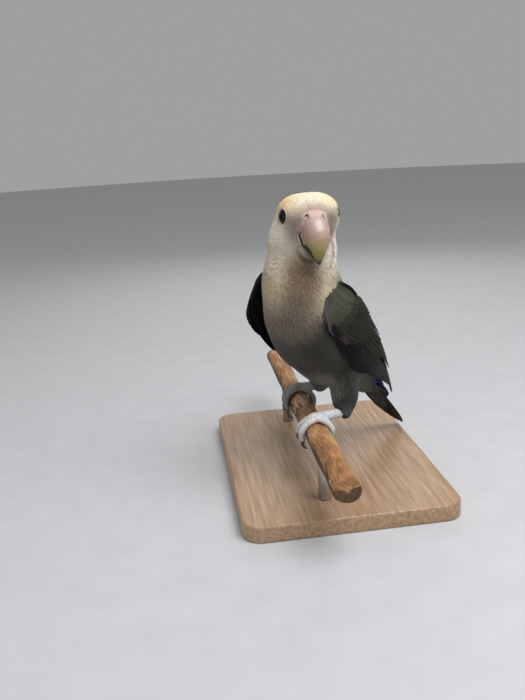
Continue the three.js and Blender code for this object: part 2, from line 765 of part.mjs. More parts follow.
// Stand: a flat base with eased edges and two short rods cupped to the branch
function roundedPlate({ width, depth, thickness, corner, bevel }) {
  const x = width / 2 - bevel;
  const y = depth / 2 - bevel;
  const shape = new THREE.Shape();
  shape.moveTo(-x + corner, -y);
  shape.lineTo(x - corner, -y);
  shape.absarc(x - corner, -y + corner, corner, -Math.PI / 2, 0);
  shape.absarc(x - corner, y - corner, corner, 0, Math.PI / 2);
  shape.absarc(-x + corner, y - corner, corner, Math.PI / 2, Math.PI);
  shape.absarc(-x + corner, -y + corner, corner, Math.PI, 1.5 * Math.PI);
  const plate = new THREE.ExtrudeGeometry(shape, {
    depth: thickness - 2 * bevel,
    bevelThickness: bevel,
    bevelSize: bevel,
    bevelSegments: 1,
    curveSegments: 4,
  });
  plate.translate(0, 0, bevel);
  return toSolid(plate);
}

lovebird.add(toMesh('stand_base', roundedPlate(BASE), COLOURS.base, 0.5));
for (const [name, y] of [['near', -ROD.reach], ['far', ROD.reach]]) {
  const height = PERCH.z - BASE.thickness - GAP;
  const rod = new THREE.CylinderGeometry(ROD.radius, ROD.radius, height, ROD.sides);
  rod.rotateX(Math.PI / 2);
  rod.translate(PERCH.x, y, BASE.thickness + GAP + height / 2);
  const solid = toSolid(rod).subtract(clearOfPerch);
  lovebird.add(toMesh('stand_rod_' + name, solid, COLOURS.rod, 0.3, 1));
}

export default lovebird;
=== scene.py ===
import logging
import math
from dataclasses import dataclass, field
from enum import Enum
from functools import partial
from typing import Callable, Iterable, Sequence

import bmesh
import bpy
import numpy as np
from mathutils import Matrix, Vector
from mathutils.bvhtree import BVHTree
from mathutils.kdtree import KDTree


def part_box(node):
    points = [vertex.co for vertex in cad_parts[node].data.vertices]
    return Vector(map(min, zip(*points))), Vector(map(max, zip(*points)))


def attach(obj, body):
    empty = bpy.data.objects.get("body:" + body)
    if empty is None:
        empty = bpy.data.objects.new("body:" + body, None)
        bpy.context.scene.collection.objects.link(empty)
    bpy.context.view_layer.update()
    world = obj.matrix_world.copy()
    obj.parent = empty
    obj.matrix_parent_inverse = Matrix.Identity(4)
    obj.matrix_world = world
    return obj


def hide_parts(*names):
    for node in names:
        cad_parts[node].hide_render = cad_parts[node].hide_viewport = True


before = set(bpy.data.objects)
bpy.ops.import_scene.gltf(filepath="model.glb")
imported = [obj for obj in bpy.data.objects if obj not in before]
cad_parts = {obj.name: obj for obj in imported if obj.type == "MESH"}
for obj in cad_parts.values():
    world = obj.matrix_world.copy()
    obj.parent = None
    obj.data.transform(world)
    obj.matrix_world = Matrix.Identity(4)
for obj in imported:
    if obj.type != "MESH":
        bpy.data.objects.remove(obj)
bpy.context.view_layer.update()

# Sizes are in millimetres and angles in degrees until a mesh is made, which is in metres
MM = 0.001
SEED = 23
BODY = "root"
TINT = "tint"
VANE_MAP = "Vane"
BAKE_MAP = "OFBake"

Array = np.ndarray
Thing = bpy.types.Object
Material = bpy.types.Material
Tree = bpy.types.NodeTree
Node = bpy.types.Node
Socket = bpy.types.NodeSocket
BMesh = bmesh.types.BMesh
Stations = Sequence[tuple[float, float]]
Shape = Callable[[Array, Array], Array]

logging.basicConfig(level=logging.INFO, format="%(message)s")
log = logging.getLogger("lovebird")


class Slot(Enum):
    """The record's material slots."""

    FACE = "face_feathers"
    BREAST = "breast_feathers"
    BELLY = "belly_feathers"
    THIGH = "thigh_feathers"
    WING = "wing_feathers"
    TAIL = "tail_feathers"
    EYE = "eye"
    CLAW = "claw"
    BILL = "bill"
    FOOT = "foot_skin"
    BRANCH = "branch"
    WOOD = "stand_wood"
    ROD = "rod"


class Side(Enum):
    """The bird's own left and right."""

    LEFT = 1
    RIGHT = -1

    @property
    def word(self) -> str:
        """The side's name as the nodes write it."""
        return self.name.lower()


class Part(Enum):
    """The part of the bird in whose frame a spot is given."""

    HEAD = "head"
    TRUNK = "trunk"


def linear(colour: str) -> Array:
    """Turns an sRGB hex colour to linear light.

    Args:
        colour: Six hex digits after a number sign.

    Returns:
        Red, green and blue from 0 to 1.
    """
    parts = np.array([int(colour[i:i + 2], 16) / 255 for i in (1, 3, 5)])
    return np.where(parts <= 0.04045, parts / 12.92, ((parts + 0.055) / 1.055) ** 2.4)


def rgba(colour: str) -> tuple[float, float, float, float]:
    """An sRGB hex colour as the four linear values of a colour socket."""
    return (*linear(colour), 1.0)


def painted(points: Array, base: str | Array, *layers: tuple[str, Array]) -> Array:
    """Lays colours over each other.

    Args:
        points: The points that are coloured, or a value for each.
        base: The undermost colour, as hex or as linear colours of the points.
        layers: Hex colours in order, each with its share at every point.

    Returns:
        The linear colours of the points.
    """
    colours = np.tile(linear(base), (len(points), 1)) if isinstance(base, str) else base
    for colour, share in layers:
        colours = mix(colours, linear(colour), share[:, None])
    return colours


def ease(low: float, high: float, value: Array) -> Array:
    """A smooth step from 0 at low to 1 at high."""
    share = np.clip((value - low) / (high - low), 0, 1)
    return share * share * (3 - 2 * share)


def mix(a: Array, b: Array, share: Array) -> Array:
    """The value a given share of the way from a to b."""
    return a + (b - a) * share


def unit(vectors: Array) -> Array:
    """Vectors brought to length one."""
    return vectors / np.maximum(np.linalg.norm(vectors, axis=-1, keepdims=True), 1e-9)


def lengths(vectors: Array) -> Array:
    """The length of each vector."""
    return np.linalg.norm(vectors, axis=-1)


def dots(a: Array, b: Array) -> Array:
    """Row by row dot products, kept as a column."""
    return np.sum(a * b, axis=-1, keepdims=True)


def cos_sin(angle: float) -> tuple[float, float]:
    """The cosine and sine of an angle in degrees."""
    return math.cos(math.radians(angle)), math.sin(math.radians(angle))


def powered(values: Array, power: float) -> Array:
    """Values raised to a power, with their signs kept."""
    return np.sign(values) * np.abs(values) ** power


def rounded(share: Array, power: float = 4) -> Array:
    """One in the middle of a share from 0 to 1, rounding off to nothing at both ends."""
    return np.sqrt(np.clip(1 - np.abs(2 * share - 1) ** power, 0, 1))


def on_segment(points: Array, start: Array, end: Array) -> tuple[Array, Array]:
    """How far along a straight piece points lie, from 0 to 1, and their distance from it."""
    line = end - start
    share = np.clip((points - start) @ line / (line @ line), 0, 1)
    return share, lengths(points - start - share[:, None] * line)


def along(stations: Stations, at: Array) -> Array:
    """A smooth curve through a few stations.

    Args:
        stations: Pairs of a place and the value there, in order.
        at: The places asked for.

    Returns:
        The eased values at those places.
    """
    places = np.array([place for place, _ in stations], float)
    values = np.array([value for _, value in stations], float)
    at = np.clip(np.asarray(at, float), places[0], places[-1])
    last = len(places) - 1
    before = np.maximum(np.arange(last + 1) - 1, 0)
    after = np.minimum(np.arange(last + 1) + 1, last)
    slopes = (values[after] - values[before]) / (places[after] - places[before])
    i = np.clip(np.searchsorted(places, at, side="right") - 1, 0, last - 1)
    span = places[i + 1] - places[i]
    u = (at - places[i]) / span
    return (
        values[i] * (1 + 2 * u) * (1 - u) ** 2 + span * slopes[i] * u * (1 - u) ** 2
        + values[i + 1] * u ** 2 * (3 - 2 * u) - span * slopes[i + 1] * u ** 2 * (1 - u)
    )


def curve_through(points: Sequence[Sequence[float]], at: Array) -> Array:
    """A smooth space curve through a few points, at shares from 0 to 1."""
    shares = np.linspace(0, 1, len(points))
    columns = np.array(points, float).T
    return np.stack([along(list(zip(shares, column)), at) for column in columns], axis=-1)


def way_along(points: Sequence[Sequence[float]], at: Array, step: float) -> Array:
    """The way ahead on a smooth space curve at shares from 0 to 1, over a step both ways."""
    after, before = np.minimum(at + step, 1), np.maximum(at - step, 0)
    return unit(curve_through(points, after) - curve_through(points, before))


@dataclass(frozen=True)
class Pose:
    """Where the bird stands, and how its trunk and head are turned."""

    x: float = -3.4
    y: float = -17.5
    heading: float = 221
    trunk_x: float = 13
    trunk_z: float = 97
    pitch: float = 57
    head_x: float = 13.2
    head_y: float = 5.95
    head_z: float = 130.8
    turn: float = 54

    def _turned(self, x: Array, y: Array, z: Array) -> Array:
        """Points of the bird's own frame, set in the part's."""
        cos, sin = cos_sin(self.heading)
        x, y, z = np.broadcast_arrays(x, y, z)
        return np.stack([x * cos - y * sin + self.x, x * sin + y * cos + self.y, z], axis=-1)

    def _own(self, points: Array) -> tuple[Array, Array, Array]:
        """Points of the part's frame, in the bird's own."""
        cos, sin = cos_sin(self.heading)
        x, y = points[..., 0] - self.x, points[..., 1] - self.y
        return x * cos + y * sin, y * cos - x * sin, points[..., 2]

    def bird(self, place: Sequence[float]) -> Array:
        """A place of the bird's own frame."""
        return self._turned(*(np.float64(value) for value in place))

    def trunk(self, tailwards: Array, dorsal: Array, left: Array) -> Array:
        """Points given tailwards, up the back and to the left of the trunk's middle."""
        cos, sin = cos_sin(self.pitch)
        x = self.trunk_x - tailwards * cos - dorsal * sin
        z = self.trunk_z - tailwards * sin + dorsal * cos
        return self._turned(x, left, z)

    def head(self, forward: Array, left: Array, up: Array) -> Array:
        """Points given forward, left and up from the head's middle."""
        cos, sin = cos_sin(self.turn)
        x = self.head_x + forward * cos - left * sin
        y = self.head_y + forward * sin + left * cos
        return self._turned(x, y, self.head_z + up)

    def trunk_of(self, points: Array) -> Array:
        """The tailwards, dorsal and left values of points."""
        cos, sin = cos_sin(self.pitch)
        x, y, z = self._own(points)
        x, z = x - self.trunk_x, z - self.trunk_z
        return np.stack([-x * cos - z * sin, -x * sin + z * cos, y], axis=-1)

    def head_of(self, points: Array) -> Array:
        """The forward, left and up values of points."""
        cos, sin = cos_sin(self.turn)
        x, y, z = self._own(points)
        x, y = x - self.head_x, y - self.head_y
        return np.stack([x * cos + y * sin, y * cos - x * sin, z - self.head_z], axis=-1)

    def place(self, part: Part, at: Sequence[float]) -> Array:
        """One spot of a part as a point."""
        make = self.head if part is Part.HEAD else self.trunk
        return make(*(np.float64(value) for value in at))

    def places_of(self, part: Part, points: Array) -> Array:
        """Points in the frame of a part."""
        return self.head_of(points) if part is Part.HEAD else self.trunk_of(points)


POSE = Pose()


@dataclass(frozen=True)
class Leg:
    """One leg: hip and heel in the bird's frame, and where its foot is along the branch."""

    side: Side
    hip: tuple[float, float, float]
    heel: tuple[float, float, float]
    foot_y: float

    def on_line(self, points: Array) -> tuple[Array, Array]:
        """How far down the leg points lie, from 0 to 1, and their distance from its line."""
        return on_segment(points, POSE.bird(self.hip), POSE.bird(self.heel))


LEGS = (
    Leg(Side.LEFT, hip=(-6, 8.6, 63), heel=(4.2, 16.6, 42.6), foot_y=-31),
    Leg(Side.RIGHT, hip=(-14, -8.6, 62), heel=(-18.8, -15.3, 43), foot_y=11),
)


@dataclass(frozen=True)
class Blob:
    """A rounded form with three radii along the axes of a part's frame."""

    part: Part
    at: tuple[float, float, float]
    radii: tuple[float, float, float]
    reach: float
    fullness: float = 2

    def depth(self, points: Array) -> Array:
        """The rough distance of points from the form, negative inside it."""
        offset = POSE.places_of(self.part, points) - np.array(self.at)
        powers = np.abs(offset / np.array(self.radii)) ** self.fullness
        share = (powers.sum(axis=-1) + 1e-9) ** (1 / self.fullness)
        return lengths(offset) * (1 - 1 / share)


@dataclass(frozen=True)
class Stem:
    """A tapering round form between two points."""

    start: tuple[float, ...]
    end: tuple[float, ...]
    radii: tuple[float, float]
    reach: float

    def depth(self, points: Array) -> Array:
        """The distance of points from the form, negative inside it."""
        start, line = np.array(self.start), np.array(self.end) - np.array(self.start)
        share = np.clip((points - start) @ line / (line @ line), 0, 1)
        nearest = start + share[:, None] * line
        return lengths(points - nearest) - mix(*self.radii, share)


@dataclass(frozen=True)
class Patch:
    """A soft-edged spot on the bird that carries a value, alike on both sides unless told."""

    part: Part
    at: tuple[float, float, float]
    radii: tuple[float, float, float]
    soft: float
    value: tuple[float, ...]
    both: bool = True

    def share(self, points: Array) -> Array:
        """How strongly the patch holds at points, from 0 to 1, as a column."""
        places = POSE.places_of(self.part, points)
        across = 1 if self.part is Part.HEAD else 2
        if self.both:
            places[:, across] = np.abs(places[:, across])
        far = lengths((places - np.array(self.at)) / np.array(self.radii))
        return (1 - ease(1 - self.soft, 1 + self.soft, far))[:, None]


@dataclass
class Flesh:
    """The bird's flesh as one smooth field, from the forms of its solids.

    It is trimmed where the photograph's outline is closer, or fuller with a negative value.
    """

    thigh_stations: tuple[float, ...] = (0, 0.35, 0.7, 1)
    thigh_radii: tuple[float, ...] = (7.6, 7, 5.2, 3.2)
    thigh_reach: float = 5
    probe: float = 0.05
    far: float = 60
    flattest: float = 0.05
    longest_step: float = 3
    trims: tuple[Patch, ...] = (
        Patch(Part.HEAD, (7, 16, -7), (9, 8, 9), 0.5, (1.6,)),
        Patch(Part.HEAD, (-7, 14, 6), (4, 5, 6), 0.5, (0.7,)),
        Patch(Part.TRUNK, (12, -15, 13), (15, 9, 9), 0.6, (-1.4,)),
        Patch(Part.TRUNK, (38, -17, 5), (11, 8, 8), 0.6, (1.0,)),
        Patch(Part.TRUNK, (-2, 18, 14), (12, 9, 9), 0.6, (2.4,)),
        Patch(Part.HEAD, (0, 15, -5), (6, 6, 4.5), 0.5, (1.2,), both=False),
        Patch(Part.HEAD, (-1.5, 12.5, -16), (6, 6, 5.5), 0.5, (-0.5,), both=False),
        Patch(Part.HEAD, (4, 11, -12.5), (5, 4.5, 6), 0.6, (-1.1,), both=False),
    )

    def __post_init__(self) -> None:
        """Sets out the forms in the order in which they are blended."""
        head, trunk = Part.HEAD, Part.TRUNK
        self.forms = [
            Blob(trunk, (2, 3, 0), (28, 19, 17.5), reach=1),
            Blob(trunk, (22, 1.2, 0), (34, 22, 20.6), reach=8),
            self._stem(trunk, (40, 6, 0), trunk, (72, 13, 0), (14, 7)),
            self._stem(trunk, (-4, 8, 0), head, (-3, -1.2, -8), (15.8, 13.4)),
            Blob(head, (-1.5, 0.1, 2), (13, 14.1, 12), reach=4, fullness=2.6),
            Blob(head, (-2.5, -1.3, -7), (11.5, 15.7, 13.6), reach=5),
            Blob(head, (5, 0, -2.5), (8, 8, 7), reach=4),
            Blob(head, (8.6, 0, 2.6), (4.6, 5.2, 3.8), reach=2),
        ]
        self.body_forms = list(self.forms)
        for leg in LEGS:
            hip, heel = POSE.bird(leg.hip), POSE.bird(leg.heel)
            for i in range(len(self.thigh_stations) - 1):
                ends = [tuple(mix(hip, heel, s)) for s in self.thigh_stations[i:i + 2]]
                self.forms.append(Stem(*ends, self.thigh_radii[i:i + 2], self.thigh_reach))

    @staticmethod
    def _stem(part: Part, at: tuple, end_part: Part, end: tuple, radii: tuple) -> Stem:
        """A stem whose ends are spots of the head or trunk."""
        return Stem(tuple(POSE.place(part, at)), tuple(POSE.place(end_part, end)), radii, reach=8)

    def depth(self, points: Array, forms: Sequence[Blob | Stem] | None = None) -> Array:
        """The field: about the distance from the skin, negative inside.

        Args:
            points: The points asked for.
            forms: The forms to blend, or None for all of them.

        Returns:
            A value for each point.
        """
        value = np.full(len(points), self.far)
        for form in forms or self.forms:
            other = form.depth(points)
            share = np.clip(0.5 + (other - value) / (2 * form.reach), 0, 1)
            value = mix(other, value, share) - form.reach * share * (1 - share)
        for trim in self.trims:
            value = value + trim.share(points)[:, 0] * trim.value[0]
        return value

    def slope(self, points: Array) -> Array:
        """The field's gradient at points."""
        steps = np.eye(3) * self.probe
        columns = [self.depth(points + step) - self.depth(points - step) for step in steps]
        return np.stack(columns, axis=-1) / (2 * self.probe)

    def onto(self, points: Array, rounds: int = 3) -> tuple[Array, Array]:
        """Brings points to the surface of the flesh.

        Args:
            points: Points near the surface.
            rounds: How many corrections are made.

        Returns:
            The points on the surface, and the outward directions there.
        """
        for _ in range(rounds):
            slope = self.slope(points)
            steep = np.maximum(dots(slope, slope), self.flattest)
            excess = self.depth(points)[:, None] / steep
            points = points - slope * np.clip(excess, -self.longest_step, self.longest_step)
        return points, unit(self.slope(points))

    def spot(self, start: Array, aim: Array) -> Array:
        """The point of the body's surface met from a point inside it along an aim."""
        aim = aim / np.linalg.norm(aim)
        reaches = np.arange(0, self.far, 0.02)
        outside = self.depth(start + reaches[:, None] * aim, self.body_forms) > 0
        return start + aim * reaches[np.argmax(outside)]


FLESH = Flesh()


def paint(colour: str) -> tuple[float, ...]:
    """A hex colour as a patch's value."""
    return tuple(linear(colour))


@dataclass(frozen=True)
class Markings:
    """The colours of the plumage, which the skin and every feather over it share, with painted shade and
    light in some one-sided patches.
    """

    belly: str = "#4c4b41"
    patches: tuple[Patch, ...] = (
        Patch(Part.TRUNK, (40, -14, 0), (30, 20, 30), 0.5, paint("#282820")),
        Patch(Part.TRUNK, (62, -4, 0), (22, 14, 24), 0.5, paint("#62665b")),
        Patch(Part.TRUNK, (16, 22, 0), (50, 17, 34), 0.35, paint("#3c3f34")),
        Patch(Part.TRUNK, (68, 20, 0), (22, 9, 16), 0.4, paint("#3f4680")),
        Patch(Part.TRUNK, (0, -18, 0), (19, 20, 26), 0.6, paint("#48443b")),
        Patch(Part.TRUNK, (-12, -12, 0), (16, 18, 24), 0.5, paint("#877a65")),
        Patch(Part.TRUNK, (36, -17, 7), (8, 7, 7), 0.7, paint("#77766a")),
        Patch(Part.TRUNK, (51, -24, 18), (8, 8, 9), 0.7, paint("#5f6265")),
        Patch(Part.HEAD, (2, 0, -22), (21, 26, 15), 0.4, paint("#dccba9")),
        # Brownish breast below the bill, darker on the bird's left as painted shade of the bill and head
        Patch(Part.TRUNK, (-12, -9, 11), (8, 8, 6.5), 0.75, paint("#86745e"), both=False),
        Patch(Part.HEAD, (-17, 0, -20), (12.5, 24, 26), 0.25, paint("#6c6d66")),
        Patch(Part.TRUNK, (-6, 14, 15), (9, 9, 10), 0.5, paint("#857f76")),
        # Painted shade on the belly's left side next to the wing
        Patch(Part.TRUNK, (10, -15, 13), (13, 9, 8), 0.6, paint("#38352e"), both=False),
        Patch(Part.TRUNK, (-4, -15, 7), (8, 7, 8), 0.8, paint("#7a7062"), both=False),
        Patch(Part.HEAD, (3, 10, -9), (12, 11, 12), 0.35, paint("#ddd0b9")),
        # Painted light on the left cheek
        Patch(Part.HEAD, (8, 9, -8), (7, 5, 8), 0.6, paint("#f8ecd8"), both=False),
        Patch(Part.HEAD, (1, 14, -1), (7, 6, 5), 0.6, paint("#fdf0dc")),
        # Brownish throat, darker on the bird's right below the bill as painted shadow of the bill
        Patch(Part.HEAD, (12, -5.5, -17.5), (7, 7, 8.5), 0.6, paint("#8c745c"), both=False),
        Patch(Part.HEAD, (2, 0, 9), (13, 18, 9), 0.3, paint("#ffedce")),
        Patch(Part.HEAD, (9, 0, 8), (6, 7, 6), 0.5, paint("#fff0d2")),
        Patch(Part.HEAD, (2, 11, 9), (6.5, 6.5, 5.5), 0.6, paint("#ffd89c")),
        Patch(Part.HEAD, (11.5, 6.5, -0.5), (5.2, 4.6, 5.6), 0.8, paint("#a8968a")),
        Patch(Part.HEAD, (11.6, 0.8, 6.6), (3.4, 3.6, 2.0), 0.8, paint("#e2c6b3")),
        Patch(Part.HEAD, (-15.2, 0, 6), (18.4, 21, 20), 0.05, paint("#35382f")),
    )

    def at(self, points: Array) -> Array:
        """The linear colours of the plumage at points of the skin."""
        colours = np.tile(linear(self.belly), (len(points), 1))
        for patch in self.patches:
            colours = mix(colours, np.array(patch.value), patch.share(points))
        return colours


MARKINGS = Markings()


# Meshes: from arrays, from a mapped grid, and from a piece that is wrapped in one skin
@dataclass
class MeshArrays:
    """A mesh as arrays, with faces listed by their corners and each face's size."""

    points: Array
    corners: Array
    sizes: Array

    @classmethod
    def of(cls, bm: BMesh) -> "MeshArrays":
        """The arrays of a bmesh, which is freed."""
        bm.verts.index_update()
        points = np.array([vert.co[:] for vert in bm.verts])
        corners = [vert.index for face in bm.faces for vert in face.verts]
        sizes = [len(face.verts) for face in bm.faces]
        bm.free()
        return cls(points, np.array(corners), np.array(sizes))

    def copies(self, places: Array) -> "MeshArrays":
        """The mesh repeated once for each set of points.

        Args:
            places: The points of every copy, as copies by points by three.

        Returns:
            One mesh of all the copies.
        """
        count, size = places.shape[:2]
        offsets = np.arange(count)[:, None] * size
        return MeshArrays(
            places.reshape(-1, 3), (self.corners[None] + offsets).ravel(), np.tile(self.sizes, count)
        )


def mesh_object(name: str, arrays: MeshArrays, sharp: float | None = None) -> Thing:
    """Makes an object of arrays in millimetres.

    Args:
        name: The piece's name.
        arrays: The mesh.
        sharp: The angle past which an edge is hard, or None for none.

    Returns:
        The linked object, smooth shaded.
    """
    mesh = bpy.data.meshes.new(name)
    mesh.vertices.add(len(arrays.points))
    mesh.vertices.foreach_set("co", (arrays.points * MM).astype(np.float32).ravel())
    mesh.loops.add(len(arrays.corners))
    mesh.loops.foreach_set("vertex_index", arrays.corners.astype(np.int32))
    mesh.polygons.add(len(arrays.sizes))
    starts = np.concatenate([[0], np.cumsum(arrays.sizes)[:-1]])
    mesh.polygons.foreach_set("loop_start", starts.astype(np.int32))
    mesh.polygons.foreach_set("use_smooth", np.ones(len(arrays.sizes), bool))
    mesh.update(calc_edges=True)
    mesh.validate()
    if sharp is not None:
        mesh.set_sharp_from_angle(angle=math.radians(sharp))
    thing = bpy.data.objects.new(name, mesh)
    bpy.context.scene.collection.objects.link(thing)
    return thing


def wrapped(name: str, shape: Shape, around: int, lengthways: int, sharp: float | None = None) -> Thing:
    """Makes an object of a grid that is wrapped into a closed form."""
    return mesh_object(name, MeshArrays.of(mapped(shape, around, lengthways)), sharp)


def points_of(thing: Thing) -> Array:
    """An object's points in millimetres."""
    flat = np.empty(len(thing.data.vertices) * 3, np.float32)
    thing.data.vertices.foreach_get("co", flat)
    return flat.reshape(-1, 3).astype(float) / MM


def move_points(thing: Thing, points: Array) -> None:
    """Sets an object's points, given in millimetres."""
    thing.data.vertices.foreach_set("co", (points * MM).astype(np.float32).ravel())
    thing.data.update()


def tint(thing: Thing, colours: Array) -> None:
    """Keeps a linear colour for each point of a piece, for its finish to read."""
    attribute = thing.data.attributes.new(TINT, "FLOAT_COLOR", "POINT")
    values = np.concatenate([np.clip(colours, 0, 1), np.ones((len(colours), 1))], axis=1)
    attribute.data.foreach_set("color", values.astype(np.float32).ravel())


def lay_map(thing: Thing, name: str, places: Array) -> None:
    """Adds a UV map from a pair of values for each point."""
    corners = np.empty(len(thing.data.loops), np.int32)
    thing.data.loops.foreach_get("vertex_index", corners)
    layer = thing.data.uv_layers.new(name=name, do_init=False)
    layer.uv.foreach_set("vector", places[corners].astype(np.float32).ravel())


def mapped(shape: Shape, around: int, lengthways: int) -> BMesh:
    """Wraps a grid into a closed form.

    Args:
        shape: Gives the points, in millimetres, for shares around and along from 0 to 1.
        around: The faces around the form.
        lengthways: The faces along it.

    Returns:
        The form, with its seam merged, its ends closed and its faces pointing out.
    """
    bm = bmesh.new()
    bmesh.ops.create_grid(bm, x_segments=around, y_segments=lengthways, size=1)
    flat = (np.array([vert.co[:2] for vert in bm.verts]) + 1) / 2
    for vert, point in zip(bm.verts, shape(flat[:, 0], flat[:, 1])):
        vert.co = point
    bmesh.ops.remove_doubles(bm, verts=bm.verts, dist=1e-3)
    bmesh.ops.holes_fill(bm, edges=[edge for edge in bm.edges if edge.is_boundary])
    bmesh.ops.recalc_face_normals(bm, faces=bm.faces)
    return bm


def merged(forms: Iterable[BMesh]) -> BMesh:
    """Joins several forms in one bmesh and frees them."""
    whole = bmesh.new()
    for form in forms:
        mesh = bpy.data.meshes.new("part")
        form.to_mesh(mesh)
        form.free()
        whole.from_mesh(mesh)
        bpy.data.meshes.remove(mesh)
    return whole


def one_skin(thing: Thing, voxel: float, smoothing: int) -> None:
    """Wraps a piece in one closed skin and smooths it.

    Args:
        thing: The piece, whose mesh is replaced.
        voxel: The size of the skin's cells.
        smoothing: How many times its points are evened out.
    """
    remesh = thing.modifiers.new("skin", "REMESH")
    remesh.mode = "VOXEL"
    remesh.voxel_size = voxel * MM
    remesh.use_smooth_shade = True
    even = thing.modifiers.new("even", "SMOOTH")
    even.iterations = smoothing
    graph = bpy.context.evaluated_depsgraph_get()
    mesh = bpy.data.meshes.new_from_object(thing.evaluated_get(graph))
    thing.modifiers.clear()
    old = thing.data
    thing.data = mesh
    mesh.name = thing.name
    bpy.data.meshes.remove(old)


def place_piece(thing: Thing, finish: Material, nodes: Iterable[str]) -> Thing:
    """Dresses a piece, hides the solids it takes the place of and logs its triangles.

    Args:
        thing: The piece.
        finish: Its material.
        nodes: The solids it takes the place of.

    Returns:
        The same piece.
    """
    thing.data.materials.clear()
    thing.data.materials.append(finish)
    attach(thing, BODY)
    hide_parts(*nodes)
    faces = sum(len(polygon.vertices) - 2 for polygon in thing.data.polygons)
    log.info("%s: %d triangles", thing.name, faces)
    return thing


# Finishes
def add_node(tree: Tree, kind: str, settings: dict | None = None, **links: object) -> Node:
    """Adds a node with its settings and links.

    Args:
        tree: The material's node tree.
        kind: The node's type.
        settings: Values of the node's own properties.
        links: Input names, with underscores for spaces, and an output or a value for each.

    Returns:
        The new node.
    """
    node = tree.nodes.new(kind)
    for key, value in (settings or {}).items():
        setattr(node, key, value)
    for key, value in links.items():
        name = key.replace("_", " ").strip()
        socket = node.inputs[int(name[1:])] if name[:1] == "i" and name[1:].isdigit() else node.inputs[name]
        if isinstance(value, Socket):
            tree.links.new(value, socket)
        else:
            socket.default_value = value
    return node


def ramp(tree: Tree, factor: Socket, stops: Sequence[tuple[float, str]]) -> Socket:
    """Adds a colour ramp with the given stops and returns its colour."""
    node = add_node(tree, "ShaderNodeValToRGB", Fac=factor)
    while len(node.color_ramp.elements) < len(stops):
        node.color_ramp.elements.new(0.5)
    for element, (place, colour) in zip(node.color_ramp.elements, stops):
        element.position = place
        element.color = rgba(colour)
    return node.outputs["Color"]


@dataclass(frozen=True)
class Finish:
    """A material made of one principled surface with relief from a pattern."""

    name: str
    roughness: float
    specular: float = 0.5
    sheen: float = 0
    coat: float = 0
    coat_roughness: float = 0.1
    metallic: float = 0
    ior: float = 1.5

    def start(self) -> tuple[Tree, Node, Material]:
        """Makes the material with its constant values set on the surface itself."""
        material = bpy.data.materials.new(self.name)
        material.use_nodes = True
        tree = material.node_tree
        tree.nodes.clear()
        surface = add_node(
            tree, "ShaderNodeBsdfPrincipled", Roughness=self.roughness, Metallic=self.metallic,
            IOR=self.ior, Specular_IOR_Level=self.specular, Sheen_Weight=self.sheen,
            Sheen_Roughness=0.5, Coat_Weight=self.coat, Coat_Roughness=self.coat_roughness,
        )
        add_node(tree, "ShaderNodeOutputMaterial", Surface=surface.outputs["BSDF"])
        return tree, surface, material

    @staticmethod
    def relief(tree: Tree, surface: Node, height: Socket, depth: float, strength: float) -> None:
        """Gives the surface a relief of a depth in millimetres."""
        bump = add_node(tree, "ShaderNodeBump", Height=height, Distance=depth * MM, Strength=strength)
        tree.links.new(bump.outputs["Normal"], surface.inputs["Normal"])

    @staticmethod
    def grained(tree: Tree, size: float, stretch: Sequence[float] | None = None,
                **settings: float) -> Socket:
        """Adds an uneven pattern in the piece's own space.

        Args:
            tree: The material's node tree.
            size: The real size of its marks in millimetres.
            stretch: How closely it repeats along each axis, where not alike.
            settings: The noise's other inputs.

        Returns:
            The pattern.
        """
        place = add_node(tree, "ShaderNodeTexCoord").outputs["Object"]
        if stretch:
            laid = add_node(tree, "ShaderNodeMapping", Vector=place, Scale=stretch)
            place = laid.outputs["Vector"]
        marks = add_node(tree, "ShaderNodeTexNoise", Vector=place, Scale=1 / (size * MM), **settings)
        return marks.outputs["Fac"]

    @staticmethod
    def shade(tree: Tree, surface: Node, pattern: Socket, swing: float, least: float) -> None:
        """Gives the surface the colour kept for each point, lighter and darker by a pattern.

        Args:
            tree: The material's node tree.
            surface: The surface.
            pattern: Values from 0 or -1 to 1.
            swing: How much the pattern counts.
            least: The share of the colour where the pattern is nothing.
        """
        share = add_node(
            tree, "ShaderNodeMath", {"operation": "MULTIPLY_ADD"}, i0=pattern, i1=swing, i2=least
        )
        kept = add_node(tree, "ShaderNodeAttribute", {"attribute_name": TINT})
        colour = add_node(
            tree, "ShaderNodeVectorMath", {"operation": "SCALE"},
            Vector=kept.outputs["Color"], Scale=share.outputs["Value"],
        )
        tree.links.new(colour.outputs["Vector"], surface.inputs["Base Color"])


@dataclass(frozen=True)
class PlumeFinish(Finish):
    """Feather keratin: matt, with a soft sheen from the barbs, which run slantwise off the shaft.

    The real barbs are a tenth of a millimetre apart, and are drawn coarser so that they show.
    """

    barbs: float = 14
    slant: float = 2.2
    streak: float = 0.16

    def material(self) -> Material:
        """Makes the finish."""
        tree, surface, material = self.start()
        place = add_node(tree, "ShaderNodeUVMap", {"uv_map": VANE_MAP}).outputs["UV"]
        parts = add_node(tree, "ShaderNodeSeparateXYZ", Vector=place)
        value = parts.outputs["X"]
        for operation, numbers in (
            ("SUBTRACT", {"i1": 0.5}), ("ABSOLUTE", {}),
            ("MULTIPLY_ADD", {"i1": -self.slant, "i2": parts.outputs["Y"]}),
            ("MULTIPLY", {"i1": self.barbs * 2 * math.pi}), ("SINE", {}),
        ):
            step = add_node(tree, "ShaderNodeMath", {"operation": operation}, i0=value, **numbers)
            value = step.outputs["Value"]
        self.shade(tree, surface, value, swing=self.streak / 2, least=1 - self.streak / 2)
        self.relief(tree, surface, value, depth=0.04, strength=0.5)
        return material


@dataclass(frozen=True)
class SkinFinish(Finish):
    """The down and skin under the feathers: matt, in the colours of the plumage."""

    fluff: float = 10 / 9

    def material(self) -> Material:
        """Makes the finish."""
        tree, surface, material = self.start()
        fluff = self.grained(tree, self.fluff, Detail=4.0)
        self.shade(tree, surface, fluff, swing=0.3, least=0.75)
        self.relief(tree, surface, fluff, depth=0.3, strength=0.6)
        return material


